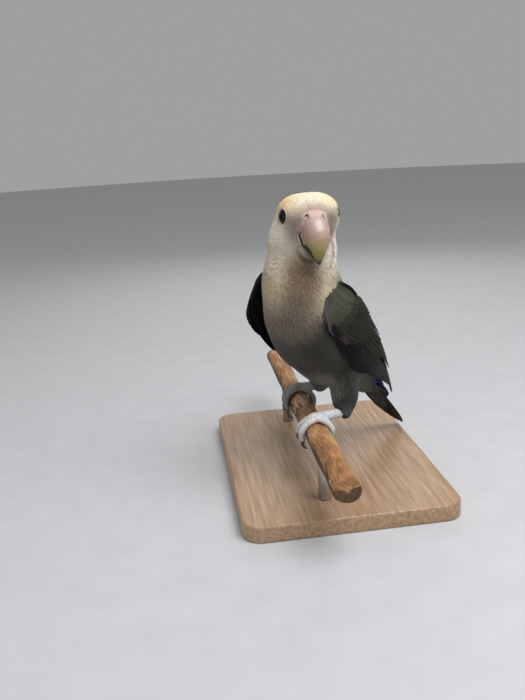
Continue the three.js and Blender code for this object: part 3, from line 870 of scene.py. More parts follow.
@dataclass(frozen=True)
class HornFinish(Finish):
    """Keratin of bill, claws, scales and lids: tinted by place, with fine growth marks."""

    grain: float = 0.6
    depth: float = 0.08
    variation: float = 0.2
    cells: float = 0

    def material(self) -> Material:
        """Makes the finish."""
        tree, surface, material = self.start()
        height = self.grained(tree, self.grain, Detail=5.0, Roughness=0.6)
        if self.cells:
            place = add_node(tree, "ShaderNodeTexCoord").outputs["Object"]
            scales = add_node(
                tree, "ShaderNodeTexVoronoi", {"feature": "DISTANCE_TO_EDGE"},
                Vector=place, Scale=1 / (self.cells * MM),
            )
            edge = add_node(
                tree, "ShaderNodeMapRange", Value=scales.outputs["Distance"],
                From_Min=0.0, From_Max=0.25, To_Min=0.0, To_Max=1.0,
            )
            height = add_node(
                tree, "ShaderNodeMath", {"operation": "MULTIPLY_ADD"},
                i0=height, i1=0.3, i2=edge.outputs["Result"],
            ).outputs["Value"]
        darker = self.variation * (0.9 if self.cells else 0.5)
        self.shade(tree, surface, height, swing=self.variation, least=1 - darker)
        self.relief(tree, surface, height, depth=self.depth, strength=0.7)
        return material


@dataclass(frozen=True)
class BranchFinish(Finish):
    """A peeled, handled branch: long grain, brown stains and dark scraps of bark, whose dark also paints
    the bird's shadow.
    """

    grain: float = 0.7
    stain: float = 9

    def material(self) -> Material:
        """Makes the finish."""
        tree, surface, material = self.start()
        fibre = self.grained(
            tree, self.grain, (1, 0.09, 1), Detail=6.0, Roughness=0.62, Distortion=0.4
        )
        stain = self.grained(tree, self.stain, (1, 0.45, 1), Detail=4.0, Roughness=0.6)
        wood = ramp(tree, fibre, (
            (0.3, "#94704c"), (0.46, "#c19766"), (0.6, "#dbb48a"), (0.75, "#e6cba8"),
        ))
        patchy = ramp(tree, stain, ((0.36, "#8a6448"), (0.5, "#cfae8c"), (0.66, "#ffffff")))
        washed = add_node(
            tree, "ShaderNodeMix", {"data_type": "RGBA", "blend_type": "MULTIPLY"},
            i0=0.75, i6=wood, i7=patchy,
        )
        # Where the bark attribute holds the bird's painted shadow, this dark brown is painted shade
        bark = add_node(tree, "ShaderNodeAttribute", {"attribute_name": "bark"})
        dressed = add_node(
            tree, "ShaderNodeMix", {"data_type": "RGBA"},
            i0=bark.outputs["Fac"], i6=washed.outputs[2], i7=rgba("#3a2a1d"),
        )
        tree.links.new(dressed.outputs[2], surface.inputs["Base Color"])
        self.relief(tree, surface, fibre, depth=0.35, strength=0.8)
        return material


@dataclass(frozen=True)
class GrainFinish(Finish):
    """A surface coloured by its own grain, such as oiled wood, brushed metal or a painted board."""

    grain: float = 1
    stretch: tuple[float, float, float] | None = None
    noise: tuple[float, float, float] = (3, 0.5, 0)
    stops: tuple[tuple[float, str], ...] = ()
    depth: float = 0

    def material(self) -> Material:
        """Makes the finish."""
        tree, surface, material = self.start()
        settings = dict(zip(("Detail", "Roughness", "Distortion"), self.noise))
        grain = self.grained(tree, self.grain, self.stretch, **settings)
        tree.links.new(ramp(tree, grain, self.stops), surface.inputs["Base Color"])
        if self.depth:
            self.relief(tree, surface, grain, depth=self.depth, strength=0.5)
        return material


# The eyes and the bare face, worked out first because the feathers keep clear of them
@dataclass(frozen=True)
class EyeSizes:
    """One eye: the ball's radius, where it looks, and how deep it sits."""

    radius: float = 3.7
    bearing: float = 73
    up: float = 3.5
    sunk: float = 3.3
    tilt: float = 0.1
    dimple: float = 4.6
    dimple_out: float = 2.8
    lid_radius: float = 3.36
    lid_width: float = 0.42
    lid_thickness: float = 0.16
    lid_sunk: float = 0.9
    lid_slope: float = 50
    deeper_left: float = 0.45

    def outward(self, side: Side) -> Array:
        """The way the eye looks."""
        bearing = math.radians(self.bearing)
        tip = POSE.head(math.cos(bearing), side.value * math.sin(bearing), self.tilt)
        return unit(tip - POSE.head(0, 0, 0))

    def centre(self, side: Side, sunk: float | None = None) -> Array:
        """The point at a depth under the skin on the eye's line."""
        aim = self.outward(side)
        surface = FLESH.spot(POSE.head(0, 0, self.up), aim)
        deeper = self.deeper_left if side is Side.LEFT else 0
        return surface - aim * ((self.sunk if sunk is None else sunk) + deeper)


EYES = EyeSizes()


def face_spot(side: Side, start: tuple[float, float], aim: tuple[float, float, float]) -> Array:
    """The spot of the face met from its midline along an aim of forward, out and up."""
    origin = POSE.head(start[0], 0, start[1])
    end = POSE.head(start[0] + aim[0], side.value * aim[1], start[1] + aim[2])
    return FLESH.spot(origin, end - origin)


class Horn:
    """The finished bill and cere, in which no feather is rooted."""

    def __init__(self, things: Iterable[Thing], reach: float = 16) -> None:
        """Keeps a search tree for each piece."""
        self.reach = reach
        self.trees = [
            BVHTree.FromPolygons(points_of(thing).tolist(), [p.vertices[:] for p in thing.data.polygons])
            for thing in things
        ]

    def near(self, points: Array, margin: float) -> Array:
        """Whether points lie in a piece, or within a margin of one."""
        found = np.zeros(len(points), bool)
        centre = POSE.head(13, 0, -4)
        for i in np.nonzero(lengths(points - centre) < self.reach)[0]:
            for tree in self.trees:
                spot, normal, _, distance = tree.find_nearest(points[i])
                inside = (Vector(points[i]) - spot).dot(normal) < 0
                found[i] |= distance < margin or inside
        return found


@dataclass
class Face:
    """The bare places of the head: round the eyes, at the nostrils and at the mouth corners."""

    eye_clear: float = 3.6
    gape_clear: float = 1.25
    nostril_start: tuple[float, float] = (4, 5)
    nostril_aim: tuple[float, float, float] = (8.3, 3.9, -0.5)
    gape_start: tuple[float, float] = (2, -2.6)
    gape_corner: tuple[float, float, float] = (8, 6.3, 0.4)
    gape_front: tuple[float, float, float] = (8.2, 5.6, -2.8)
    gape_end: tuple[float, float] = (0.12, 0.5)

    def __post_init__(self) -> None:
        """Works out the places on the face."""
        self.eyes = {side: EYES.centre(side, 0) for side in Side}
        self.sockets = {side: EYES.centre(side, -EYES.dimple_out) for side in Side}
        self.nostrils = {
            side: face_spot(side, self.nostril_start, self.nostril_aim) for side in Side
        }
        self.gapes = {side: self._gape(side) for side in Side}

    def _gape(self, side: Side) -> Array:
        """The line of the mouth on the skin, from its corner to where the bill's halves meet."""
        turn = self.gape_end[0] if side is Side.LEFT else 1 - self.gape_end[0]
        meeting = LOWER.shape(np.array([turn]), np.array([self.gape_end[1]]))
        line = np.stack([
            face_spot(side, self.gape_start, self.gape_corner),
            face_spot(side, self.gape_start, self.gape_front), meeting[0],
        ])
        return FLESH.onto(line)[0]

    def gape_distance(self, points: Array) -> Array:
        """The distance of points from the nearer mouth corner's line."""
        return np.min([
            on_segment(points, *line[i:i + 2])[1] for line in self.gapes.values() for i in (0, 1)
        ], axis=0)

    def bare(self, points: Array, ways: Array) -> Array:
        """Whether a feather rooted at points and pointing a way would cover a bare place."""
        clear = np.zeros(len(points), bool)
        for centre in self.eyes.values():
            clear |= lengths(points - centre) < self.eye_clear
            for reach in (0.6, 1.2, 1.8):
                clear |= lengths(points + ways * reach - centre) < self.eye_clear - 0.2
        for reach in (0, 0.4, 0.8, 1.2):
            clear |= self.gape_distance(points + ways * reach) < self.gape_clear
        return clear


@dataclass(frozen=True)
class BillHalf:
    """Half a bill: its side outline from ridge to cutting edge, its width and its flare."""

    node: str
    ridge: tuple[tuple[float, float], ...]
    edge: tuple[tuple[float, float], ...]
    width: tuple[tuple[float, float], ...]
    flare: tuple[tuple[float, float], ...]
    rounding: float
    lean: float = 0
    aside: float = 0
    squareness: float = 0.85

    def shape(self, around: Array, lengthways: Array, proud: float = 0) -> Array:
        """Points of the bill's surface.

        Args:
            around: Shares round the section, from the ridge over the left to the ridge.
            lengthways: Shares from the root to the tip.
            proud: How far the form is grown.

        Returns:
            The points.
        """
        turn = math.tau * around
        high = curve_through(self.ridge, lengthways)
        low = curve_through(self.edge, lengthways)
        level = (1 + np.cos(turn)) / 2
        half = along(self.width, lengthways) / 2
        half = half * mix(along(self.flare, lengthways), 1, level)
        end = np.clip((lengthways - 1 + self.rounding) / self.rounding, 0, 1)
        blunt = np.sqrt(np.clip(1 - end ** 2, 0, 1))
        middle = (high + low) / 2
        reach = (mix(low, high, level[:, None]) - middle) * blunt[:, None]
        across = half * powered(np.sin(turn), self.squareness) * blunt
        tall = np.maximum(lengths(high - low) / 2, 0.1)
        grown = 1 + proud / tall
        wide = 1 + proud / np.maximum(half, 0.3)
        spot = middle + reach * grown[:, None]
        left = across * wide + self.lean * lengthways ** 2 + self.aside
        return POSE.head(spot[:, 0], left, spot[:, 1])


UPPER = BillHalf(
    node="bill_upper",
    ridge=((9, 6.8), (15.4, 3.9), (18.9, -2.2), (19.5, -8.6), (17.9, -15.2)),
    edge=((4, -4.6), (8.5, -5.8), (12.2, -7.2), (14.8, -9.6), (17.1, -14.8)),
    width=((0, 10.4), (0.3, 10.1), (0.6, 8.3), (0.85, 4.5), (1, 1.0)),
    flare=((0, 1.35), (0.35, 1.42), (0.7, 1.22), (1, 1)),
    rounding=0.035,
    lean=-0.8,
)
LOWER = BillHalf(
    node="bill_lower",
    ridge=((2, -3), (8.8, -4.8), (12.2, -8), (14.6, -11.6)),
    edge=((2, -11.2), (8.8, -11.9), (12, -13.2), (14.3, -14.0)),
    width=((0, 14.4), (0.45, 12.2), (0.75, 8.6), (1, 3)),
    flare=((0, 1.05), (1, 1)),
    rounding=0.06,
    lean=-0.4,
    aside=-0.9,
)


@dataclass(frozen=True)
class Cere:
    """The band of bare swollen skin over the bill's root, with the nostrils in it."""

    start: float = 0.0
    end: float = 0.19
    reach: float = 0.31
    proud: float = 0.8
    pit: float = 0.85
    pit_depth: float = 1.4
    rim: float = 0.42
    rim_at: float = 1.25


CERE = Cere()
FACE = Face()


# The coat
@dataclass(frozen=True)
class CoatSizes:
    """Feather sizes over the body: spacing, length, half width, depth, lift and wander."""

    body: tuple[float, ...] = (0.5, 4.8, 0.34, 1.3, 0.06, 4)
    thigh: tuple[float, ...] = (0.46, 6.2, 0.21, 1.3, 0.3, 9)
    patches: tuple[Patch, ...] = (
        Patch(Part.TRUNK, (64, 0, 0), (16, 16, 22), 0.4, (0.52, 5.6, 0.38, 1.5, 0.14, 6)),
        Patch(Part.TRUNK, (0, 20, 0), (34, 12, 30), 0.4, (0.8, 5.4, 0.85, 1.4, 0.12, 4)),
        Patch(Part.HEAD, (0, 0, -22), (26, 26, 15), 0.4, (0.42, 4.2, 0.28, 1.1, 0.05, 4)),
        Patch(Part.HEAD, (-1, 0, 0), (18, 18, 16), 0.2, (0.34, 2.4, 0.25, 0.7, 0.04, 4)),
        Patch(Part.HEAD, (10, 0, -1), (8, 10, 9), 0.3, (0.26, 1.15, 0.17, 0.4, 0.02, 6)),
    )

    def at(self, points: Array) -> Array:
        """The sizes at points of the skin, as columns."""
        sizes = np.tile(np.array(self.body, float), (len(points), 1))
        for patch in self.patches:
            sizes = mix(sizes, np.array(patch.value), patch.share(points))
        return mix(sizes, np.array(self.thigh), thigh_share(points)[:, None])


def thigh_share(points: Array) -> Array:
    """How far points belong to a thigh, from 0 to 1."""
    strongest = np.zeros(len(points))
    for leg in LEGS:
        share, away = leg.on_line(points)
        size = along(list(zip(FLESH.thigh_stations, FLESH.thigh_radii)), share)
        near = 1 - ease(1.0, 4.0, away - size)
        strongest = np.maximum(strongest, near * ease(0.12, 0.42, share))
    return strongest


COAT = CoatSizes()


def lie(points: Array, normals: Array) -> Array:
    """The way the feathers point: away from the bill, tailwards, down the legs and round the eyes.

    Args:
        points: Points of the skin.
        normals: The outward directions there.

    Returns:
        A direction along the skin for each point.
    """
    tailwards = POSE.trunk(1, 0, 0) - POSE.trunk(0, 0, 0)
    station = POSE.trunk_of(points)[:, :1]
    away = unit(points - POSE.head(13, 0, -2))
    way = mix(away, tailwards, ease(-22, 2, station))
    for leg in LEGS:
        share, distance = leg.on_line(points)
        down = unit(POSE.bird(leg.heel) - POSE.bird(leg.hip))
        near = (1 - ease(8, 15, distance)) * ease(0.1, 0.5, share)
        way = mix(way, down, near[:, None])
    for centre in FACE.eyes.values():
        offset = points - centre
        distance = np.linalg.norm(offset, axis=-1, keepdims=True)
        radial = offset / np.maximum(distance, 1e-6)
        inward = np.minimum(dots(way, radial), 0)
        way = way - radial * inward * (1 - ease(3.5, 7.5, distance)) * 1.2
    return unit(way - normals * dots(way, normals))


class Region(Enum):
    """The pieces the coat is made in, each with its slot and the solids it covers."""

    FACE = ("face_feathers", Slot.FACE, ("head",))
    CROWN = ("crown_feathers", Slot.FACE, ("head",))
    CHEEKS = ("cheek_feathers", Slot.FACE, ("head", "neck"))
    NAPE = ("nape_feathers", Slot.BELLY, ("head", "neck"))
    THROAT = ("throat_feathers", Slot.BREAST, ("neck",))
    BREAST = ("breast_feathers", Slot.BREAST, ("torso",))
    BELLY = ("belly_feathers", Slot.BELLY, ("torso",))
    FLANK = ("flank_feathers", Slot.BELLY, ("torso",))
    MANTLE = ("mantle_feathers", Slot.BELLY, ("torso",))
    VENT = ("vent_feathers", Slot.BELLY, ("torso",))
    THIGH_LEFT = ("thigh_feathers_left", Slot.THIGH, ("thigh_left",))
    THIGH_RIGHT = ("thigh_feathers_right", Slot.THIGH, ("thigh_right",))

    def __init__(self, piece: str, slot: Slot, nodes: tuple[str, ...]) -> None:
        """Keeps the piece's name, slot and nodes."""
        self.piece, self.slot, self.nodes = piece, slot, nodes

    @property
    def shades(self) -> tuple[float, float]:
        """How much its feathers differ from each other, and the shade of their roots."""
        if self.slot is Slot.THIGH:
            return 0.28, 0.74
        return (0.05, 0.9) if self.slot is Slot.FACE else (0.11, 0.8)


@dataclass
class Plumage:
    """The skin and the small feathers that cover it."""

    voxel: float = 0.6
    skin_gap: float = 0.25
    root_sunk: float = 0.25
    crowding: float = 5.0
    most: int = 12000
    smoothing: int = 12
    crease_half: float = 0.8
    crease_depth: float = 0.9
    wing_cover: tuple[float, float] = (6, 56)
    lower_hem: float = 34
    upper_hem: float = 6
    shut: float = 78

    def build(self, horn: Horn, feather: Material, down: Material) -> None:
        """Makes the skin and all the pieces of the coat.

        Args:
            horn: The bill, which feathers keep clear of.
            feather: The finish of the feathers.
            down: The finish of the skin under them.
        """
        self.horn = horn
        skin = self._skin()
        self._coat(skin, feather)
        tint(skin, self._skin_colours(points_of(skin)))
        nodes = ("head", "neck", "torso", "thigh_left", "thigh_right")
        place_piece(skin, down, nodes)

    def _skin(self) -> Thing:
        """One closed skin over the flesh nodes, inside them by the coat's depth."""
        whole = bmesh.new()
        for name in ("head", "neck", "torso", "thigh_left", "thigh_right"):
            whole.from_mesh(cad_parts[name].data)
        bmesh.ops.remove_doubles(whole, verts=whole.verts, dist=1e-6)
        bmesh.ops.recalc_face_normals(whole, faces=whole.faces)
        for vert, normal in [(vert, vert.normal.copy()) for vert in whole.verts]:
            vert.co += normal * self.skin_gap * MM
        mesh = bpy.data.meshes.new("plumage_skin")
        whole.to_mesh(mesh)
        whole.free()
        skin = bpy.data.objects.new("plumage_skin", mesh)
        bpy.context.scene.collection.objects.link(skin)
        one_skin(skin, self.voxel, self.smoothing)
        points, normals = FLESH.onto(points_of(skin), rounds=4)
        points = points - normals * COAT.at(points)[:, 3:4]
        for centre in FACE.sockets.values():
            offset = points - centre
            far = np.linalg.norm(offset, axis=-1, keepdims=True)
            points = np.where(far < EYES.dimple, centre + offset * EYES.dimple / far, points)
        crease = np.clip(1 - FACE.gape_distance(points) / self.crease_half, 0, 1)[:, None]
        points = points - normals * self.crease_depth * crease
        move_points(skin, points)
        skin.data.polygons.foreach_set("use_smooth", np.ones(len(skin.data.polygons), bool))
        return skin

    @staticmethod
    def _skin_colours(points: Array) -> Array:
        """The plumage's colours, a little darker, with the mouth corners' dark red deepened by painted
        shade in the crease.
        """
        # Dark red along the mouth's line, partly painted shade in the crease
        layers = [("#3b1f1a", 1 - ease(0.45, 0.9, FACE.gape_distance(points)))]
        for centre in FACE.eyes.values():
            layers.append(("#d5c7b5", 1 - ease(3.2, 4.6, lengths(points - centre))))
        return painted(points, MARKINGS.at(points) * 0.8, *layers)

    def _roots(self, skin: Thing) -> Array:
        """Scatters feather roots over the flesh, no two nearer than the coat's spacing.

        Args:
            skin: The skin under the coat, over whose triangles they are dealt out.

        Returns:
            The roots' places.
        """
        draw = np.random.default_rng(SEED)
        skin.data.calc_loop_triangles()
        corners = np.empty(len(skin.data.loop_triangles) * 3, np.int32)
        skin.data.loop_triangles.foreach_get("vertices", corners)
        triangles = points_of(skin)[corners.reshape(-1, 3)]
        area = lengths(np.cross(
            triangles[:, 1] - triangles[:, 0], triangles[:, 2] - triangles[:, 0]
        )) / 2
        wanted = area / COAT.at(triangles.mean(axis=1))[:, 0] ** 2
        count = int(self.crowding * wanted.sum())
        chosen = draw.choice(len(area), size=count, p=wanted / wanted.sum())
        a, b = draw.random((2, count, 1))
        folded = a + b > 1
        a, b = np.where(folded, 1 - a, a), np.where(folded, 1 - b, b)
        corner = triangles[chosen]
        spots = corner[:, 0] + a * (corner[:, 1] - corner[:, 0]) + b * (corner[:, 2] - corner[:, 0])
        spots, _ = FLESH.onto(spots)
        spots = spots[self._grows(spots)]
        spacing = COAT.at(spots)[:, 0]
        tree = KDTree(len(spots))
        for i, spot in enumerate(spots):
            tree.insert(spot, i)
        tree.balance()
        free = np.ones(len(spots), bool)
        kept = []
        for i, (spot, room) in enumerate(zip(spots, spacing)):
            if free[i]:
                kept.append(i)
                free[[j for _, j, _ in tree.find_range(spot, room)]] = False
        return spots[kept]

    def _grows(self, spots: Array) -> Array:
        """Whether a feather grows: not on bare skin, in the bill or far under a wing.

        Args:
            spots: Points of the skin.

        Returns:
            True or False for each.
        """
        station, dorsal, left = POSE.trunk_of(spots).T
        angle = np.degrees(np.arctan2(dorsal - along(WING_FORM.middle, station), np.abs(left)))
        low = along(WING_FORM.lower_edge, station)
        high = along(WING_FORM.upper_edge, station)
        hemmed = (angle < high - self.upper_hem) | (high > self.shut)
        start, end = self.wing_cover
        covered = (station > start) & (station < end) & (angle > low + self.lower_hem) & hemmed
        ways = lie(spots, unit(FLESH.slope(spots)))
        return ~FACE.bare(spots, ways) & ~covered & ~self.horn.near(spots, 0.3)

    def _coat(self, skin: Thing, finish: Material) -> None:
        """Makes every feather of the coat, sorted into pieces.

        Args:
            skin: The skin under the coat.
            finish: The feathers' finish.
        """
        draw = np.random.default_rng(SEED + 1)
        roots = self._roots(skin)
        regions = self._regions(roots)
        for number, region in enumerate(Region):
            own = roots[regions == number]
            if not len(own):
                continue
            pieces = math.ceil(len(own) / self.most)
            for k in range(pieces):
                name = region.piece if pieces == 1 else f"{region.piece}_{k + 1}"
                piece = Tufts(own[k::pieces], draw, self.root_sunk).build(name, region)
                place_piece(piece, finish, region.nodes)

    @staticmethod
    def _regions(roots: Array) -> Array:
        """Sorts roots into the pieces of the coat, where a later area takes the root.

        Args:
            roots: The feathers' roots.

        Returns:
            The number of each root's region.
        """
        station, dorsal, left = POSE.trunk_of(roots).T
        forward, _, up = POSE.head_of(roots).T
        areas = [
            (Region.FLANK, np.abs(left) > 14),
            (Region.BREAST, (station < 14) & (dorsal < 4)),
            (Region.MANTLE, dorsal > 8),
            (Region.VENT, station > 46),
        ]
        for leg, own in zip(LEGS, (Region.THIGH_LEFT, Region.THIGH_RIGHT)):
            areas.append((own, (thigh_share(roots) > 0.5) & (np.sign(left) == leg.side.value)))
        areas += [
            (Region.THROAT, up > -32),
            (Region.NAPE, (up > -32) & (forward < -6)),
            (Region.CHEEKS, (up > -15) & (forward >= -9)),
            (Region.CROWN, up > 4),
            (Region.FACE, (up > -15) & (forward > 6)),
        ]
        order = list(Region)
        region = np.full(len(roots), order.index(Region.BELLY))
        for own, inside in areas:
            region[inside] = order.index(own)
        return region


@dataclass
class Tufts:
    """Small feathers that lie along the skin: thin, pointed at the root, notched at the tip."""

    roots: Array
    draw: np.random.Generator
    root_sunk: float
    rim: tuple[tuple[float, float], ...] = (
        (0, 0), (-0.95, 0.45), (-0.72, 0.9), (-0.34, 0.84), (0, 1), (0.36, 0.85), (0.7, 0.92),
        (0.95, 0.47),
    )
    middle: float = 0.52
    bulge: float = 0.07
    cup: float = 0.12
    patch: float = 0.003
    long: tuple[float, float] = (0.82, 1.18)
    wide: tuple[float, float] = (0.85, 1.15)

    def template(self) -> MeshArrays:
        """One feather as a flat lens: across, along, and 1 or -1 for its two faces."""
        bm = bmesh.new()
        rim = [bm.verts.new((u, v, 0)) for u, v in self.rim]
        face = bm.faces.new(rim)
        under = bmesh.ops.duplicate(bm, geom=[face])["geom"]
        top = bmesh.ops.poke(bm, faces=[face])["verts"]
        bottom = bmesh.ops.poke(bm, faces=[f for f in under if isinstance(f, bmesh.types.BMFace)])
        for vert in top:
            vert.co = (0, self.middle, 1)
        for vert in bottom["verts"]:
            vert.co = (0, self.middle, -1)
        bmesh.ops.remove_doubles(bm, verts=bm.verts, dist=1e-4)
        bmesh.ops.recalc_face_normals(bm, faces=bm.faces)
        return MeshArrays.of(bm)

    def build(self, name: str, region: Region) -> Thing:
        """Makes all the feathers as one mesh.

        Args:
            name: The piece's name.
            region: The part of the coat.

        Returns:
            The piece, with its colours and maps.
        """
        template = self.template()
        across, lengthways, side = template.points.T
        count = len(self.roots)
        sizes = COAT.at(self.roots)
        _, length, half, depth, lift, wander = (sizes[:, i:i + 1] for i in range(6))
        length = length * self.draw.uniform(*self.long, (count, 1))
        half = half * self.draw.uniform(*self.wide, (count, 1))
        line = self._lines(length, wander)
        v = np.clip(lengthways + self.draw.uniform(-0.05, 0.05, (count, len(across))), 0, 1)
        v = np.where(lengthways == 0, 0, v)
        centre, outward, ahead = self._bent(line, v)
        sideways = unit(np.cross(outward, ahead))
        roll = self.draw.normal(0, 0.1, (count, 1))
        rise = self.draw.uniform(-0.15, 0.15, (count, 1))
        u = across * (1 + self.draw.uniform(-0.15, 0.15, (count, len(across))))
        height = (
            -depth * (1 - v ** 0.75) + (lift + rise * depth * 0.5) * v - self.root_sunk * (1 - v) ** 2
            + half * u * roll + side * self.bulge * half - self.cup * half * u ** 2
        )
        points = centre + sideways * (u * half)[..., None] + outward * height[..., None]
        piece = mesh_object(name, template.copies(points), sharp=60)
        self._colour(piece, v, region)
        flat = np.stack([np.tile((across + 1) / 2, (count, 1)), v], axis=-1).reshape(-1, 2)
        lay_map(piece, VANE_MAP, flat)
        spot = np.repeat(self._unwrap(region), len(across), axis=0)
        lay_map(piece, BAKE_MAP, spot + (flat - 0.5) * self.patch)
        return piece

    def _lines(self, length: Array, wander: Array) -> list[tuple[Array, Array]]:
        """Lays each feather's middle line on the flesh.

        Args:
            length: The feathers' lengths.
            wander: How far they turn off the coat's way, in degrees.

        Returns:
            Root, middle and tip, each as places and outward directions.
        """
        root, normal = FLESH.onto(self.roots, rounds=1)
        way = lie(root, normal)
        turn = np.radians(self.draw.normal(0, 1, (len(root), 1)) * wander)
        way = way * np.cos(turn) + np.cross(normal, way) * np.sin(turn)
        stations = [(root, normal)]
        for _ in range(2):
            root, normal = FLESH.onto(root + way * length / 2, rounds=2)
            way = unit(mix(way, lie(root, normal), 0.4))
            way = unit(way - normal * dots(way, normal))
            stations.append((root, normal))
        return stations

    @staticmethod
    def _bent(line: list[tuple[Array, Array]], v: Array) -> tuple[Array, Array, Array]:
        """Bends feathers through their three stations.

        Args:
            line: Root, middle and tip, as places and outward directions.
            v: Shares along each feather.

        Returns:
            The middle line, its outward direction and the way ahead.
        """
        v = v[..., None]
        weights = ((1 - v) * (1 - 2 * v), 4 * v * (1 - v), v * (2 * v - 1))
        slopes = (4 * v - 3, 4 - 8 * v, 4 * v - 1)
        centre = sum(w * spot[:, None] for w, (spot, _) in zip(weights, line))
        outward = unit(sum(w * normal[:, None] for w, (_, normal) in zip(weights, line)))
        ahead = unit(sum(w * spot[:, None] for w, (spot, _) in zip(slopes, line)))
        return centre, outward, ahead

    def _colour(self, piece: Thing, v: Array, region: Region) -> None:
        """Gives each feather the marking at its place, with its own shade and a paler tip."""
        base = MARKINGS.at(self.roots)
        differ, root = region.shades
        own = self.draw.normal(1, differ, (len(base), 1)) * np.ones((1, 3))
        own = own + self.draw.normal(0, 0.012, (len(base), 3))
        shade = mix(root, 1.04, v)
        colours = (base * own)[:, None] * shade[..., None]
        tint(piece, colours.reshape(-1, 3))

    def _unwrap(self, region: Region) -> Array:
        """Unwraps the skin round each part's axis.

        Args:
            region: The part of the coat.

        Returns:
            Each root's place round the axis and along it.
        """
        if region in (Region.THIGH_LEFT, Region.THIGH_RIGHT):
            leg = LEGS[0] if region is Region.THIGH_LEFT else LEGS[1]
            share, _ = leg.on_line(self.roots)
            offset = self.roots - POSE.bird(leg.hip)
            return np.stack([np.arctan2(offset[:, 1], offset[:, 0]) / math.tau + 0.5, share], axis=-1)
        if region in (Region.FACE, Region.CROWN, Region.CHEEKS, Region.NAPE):
            forward, left, up = POSE.head_of(self.roots).T
            polar = np.arctan2(np.hypot(left, up), forward) / math.pi
            return np.stack([np.arctan2(left, up) / math.tau + 0.5, polar], axis=-1)
        station, dorsal, left = POSE.trunk_of(self.roots).T
        low, high = station.min(), station.max()
        turn = np.arctan2(left, dorsal - 5) / math.tau + 0.5
        return np.stack([turn, 0.02 + 0.96 * (station - low) / (high - low)], axis=-1)


# Large feathers, one by one
@dataclass(frozen=True)
class Vane:
    """One large feather: a thin, closed sheet with a raised shaft, mapped to its place."""

    thickness: float = 0.16
    shaft: float = 0.16
    cup: float = 0.14
    across_faces: int = 8
    long_faces: int = 22

    def template(self) -> MeshArrays:
        """The flat sheet, with across from -1 to 1, along from 0 to 1, and its two faces."""
        bm = bmesh.new()
        bmesh.ops.create_grid(
            bm, x_segments=self.across_faces, y_segments=self.long_faces, size=1
        )
        bmesh.ops.solidify(bm, geom=list(bm.faces), thickness=1)
        bmesh.ops.recalc_face_normals(bm, faces=bm.faces)
        arrays = MeshArrays.of(bm)
        middle = arrays.points[:, 2].mean()
        arrays.points[:, 2] = np.where(arrays.points[:, 2] > middle, 1, -1)
        arrays.points[:, 1] = (arrays.points[:, 1] + 1) / 2
        return arrays


@dataclass(frozen=True)
class PlumeTint:
    """A large feather's colours: vane, edge, tip and shaft, and how far the paler edge reaches."""

    vane: str
    edge: str
    tip: str
    shaft: str = "#2a2926"
    edge_share: float = 0.5
    base: str | None = None

    def at(self, across: Array, lengthways: Array) -> Array:
        """Colours at places of the feather."""
        return painted(
            across, self.base or self.vane,
            (self.vane, ease(0.35, 0.8, lengthways)),
            (self.edge, ease(0.55, 1.0, np.abs(across)) * self.edge_share),
            (self.tip, ease(0.82, 1.0, lengthways) * 0.7),
            (self.shaft, (1 - ease(0.03, 0.12, np.abs(across))) * 0.7),
        )


@dataclass
class Feathering:
    """Collects large feathers and makes one piece of them."""

    vane: Vane
    draw: np.random.Generator
    places: list[Array] = field(default_factory=list)
    colours: list[Array] = field(default_factory=list)
    flats: list[Array] = field(default_factory=list)
    most_splits: int = 2
    split_at: tuple[float, float] = (0.35, 0.95)
    split_deep: tuple[float, float] = (0.1, 0.35)
    split_half: float = 0.012

    def __post_init__(self) -> None:
        """Prepares the shared sheet."""
        self.sheet = self.vane.template()

    def add(self, place: Callable[[Array, Array, Array], Array], half: float,
            outline: Stations, tints: Callable[[Array, Array], Array], skew: float = 0) -> None:
        """Adds a feather.

        Args:
            place: Gives points for shares along, millimetres across and height.
            half: Half its greatest width.
            outline: The half width along it, as shares.
            tints: Gives colours for places across and along.
            skew: How far the shaft lies off its middle, as a share of the half width.
        """
        u, v, face = self.sheet.points.T
        u = powered(u, 1.35)
        width = along(outline, v) * half
        for _ in range(self.draw.integers(0, self.most_splits + 1)):
            split = self.draw.uniform(*self.split_at)
            side = self.draw.choice([-1, 1])
            near = np.exp(-((v - split) / self.split_half) ** 2)
            notch = near * (np.sign(u) == side) * np.abs(u) ** 3
            width = width * (1 - self.draw.uniform(*self.split_deep) * notch)
        shaft = self.vane.shaft * np.exp(-(u / 0.1) ** 2) * (1 - 0.7 * v) * (face > 0)
        height = face * self.vane.thickness / 2 * (1 - 0.55 * np.abs(u)) + shaft
        height = height - self.vane.cup * u ** 2
        points = place(v, u * width + skew * half * (1 - u ** 2), height)
        tone = self.draw.normal(1, 0.05)
        self.places.append(points)
        self.colours.append(tints(u, v) * tone)
        self.flats.append(np.stack([(u + 1) / 2, v], axis=-1))

    def build(self, name: str) -> Thing:
        """Makes the piece, with an island of its own for each feather on the bake map."""
        count = len(self.places)
        piece = mesh_object(name, self.sheet.copies(np.stack(self.places)), sharp=55)
        tint(piece, np.concatenate(self.colours))
        lay_map(piece, VANE_MAP, np.concatenate(self.flats))
        columns = math.ceil(math.sqrt(count))
        cells = np.array([(i % columns, i // columns) for i in range(count)])
        islands = (cells[:, None] + 0.06 + 0.88 * np.stack(self.flats)) / columns
        lay_map(piece, BAKE_MAP, islands.reshape(-1, 2))
        return piece


def plain_core(name: str, shape: Shape, faces: tuple[int, int], colour: str) -> Thing:
    """Makes the flesh under large feathers, in one colour and at one place of the vane map."""
    core = wrapped(name, shape, *faces)
    points = points_of(core)
    tint(core, painted(points, colour))
    lay_map(core, VANE_MAP, np.full((len(points), 2), 0.5))
    return core


FLIGHT_OUTLINE = ((0, 0.5), (0.3, 1), (0.72, 1), (0.88, 0.78), (0.96, 0.45), (1, 0.1))
COVERT_OUTLINE = ((0, 0.55), (0.4, 1), (0.7, 1), (0.88, 0.76), (0.96, 0.46), (1, 0.14))


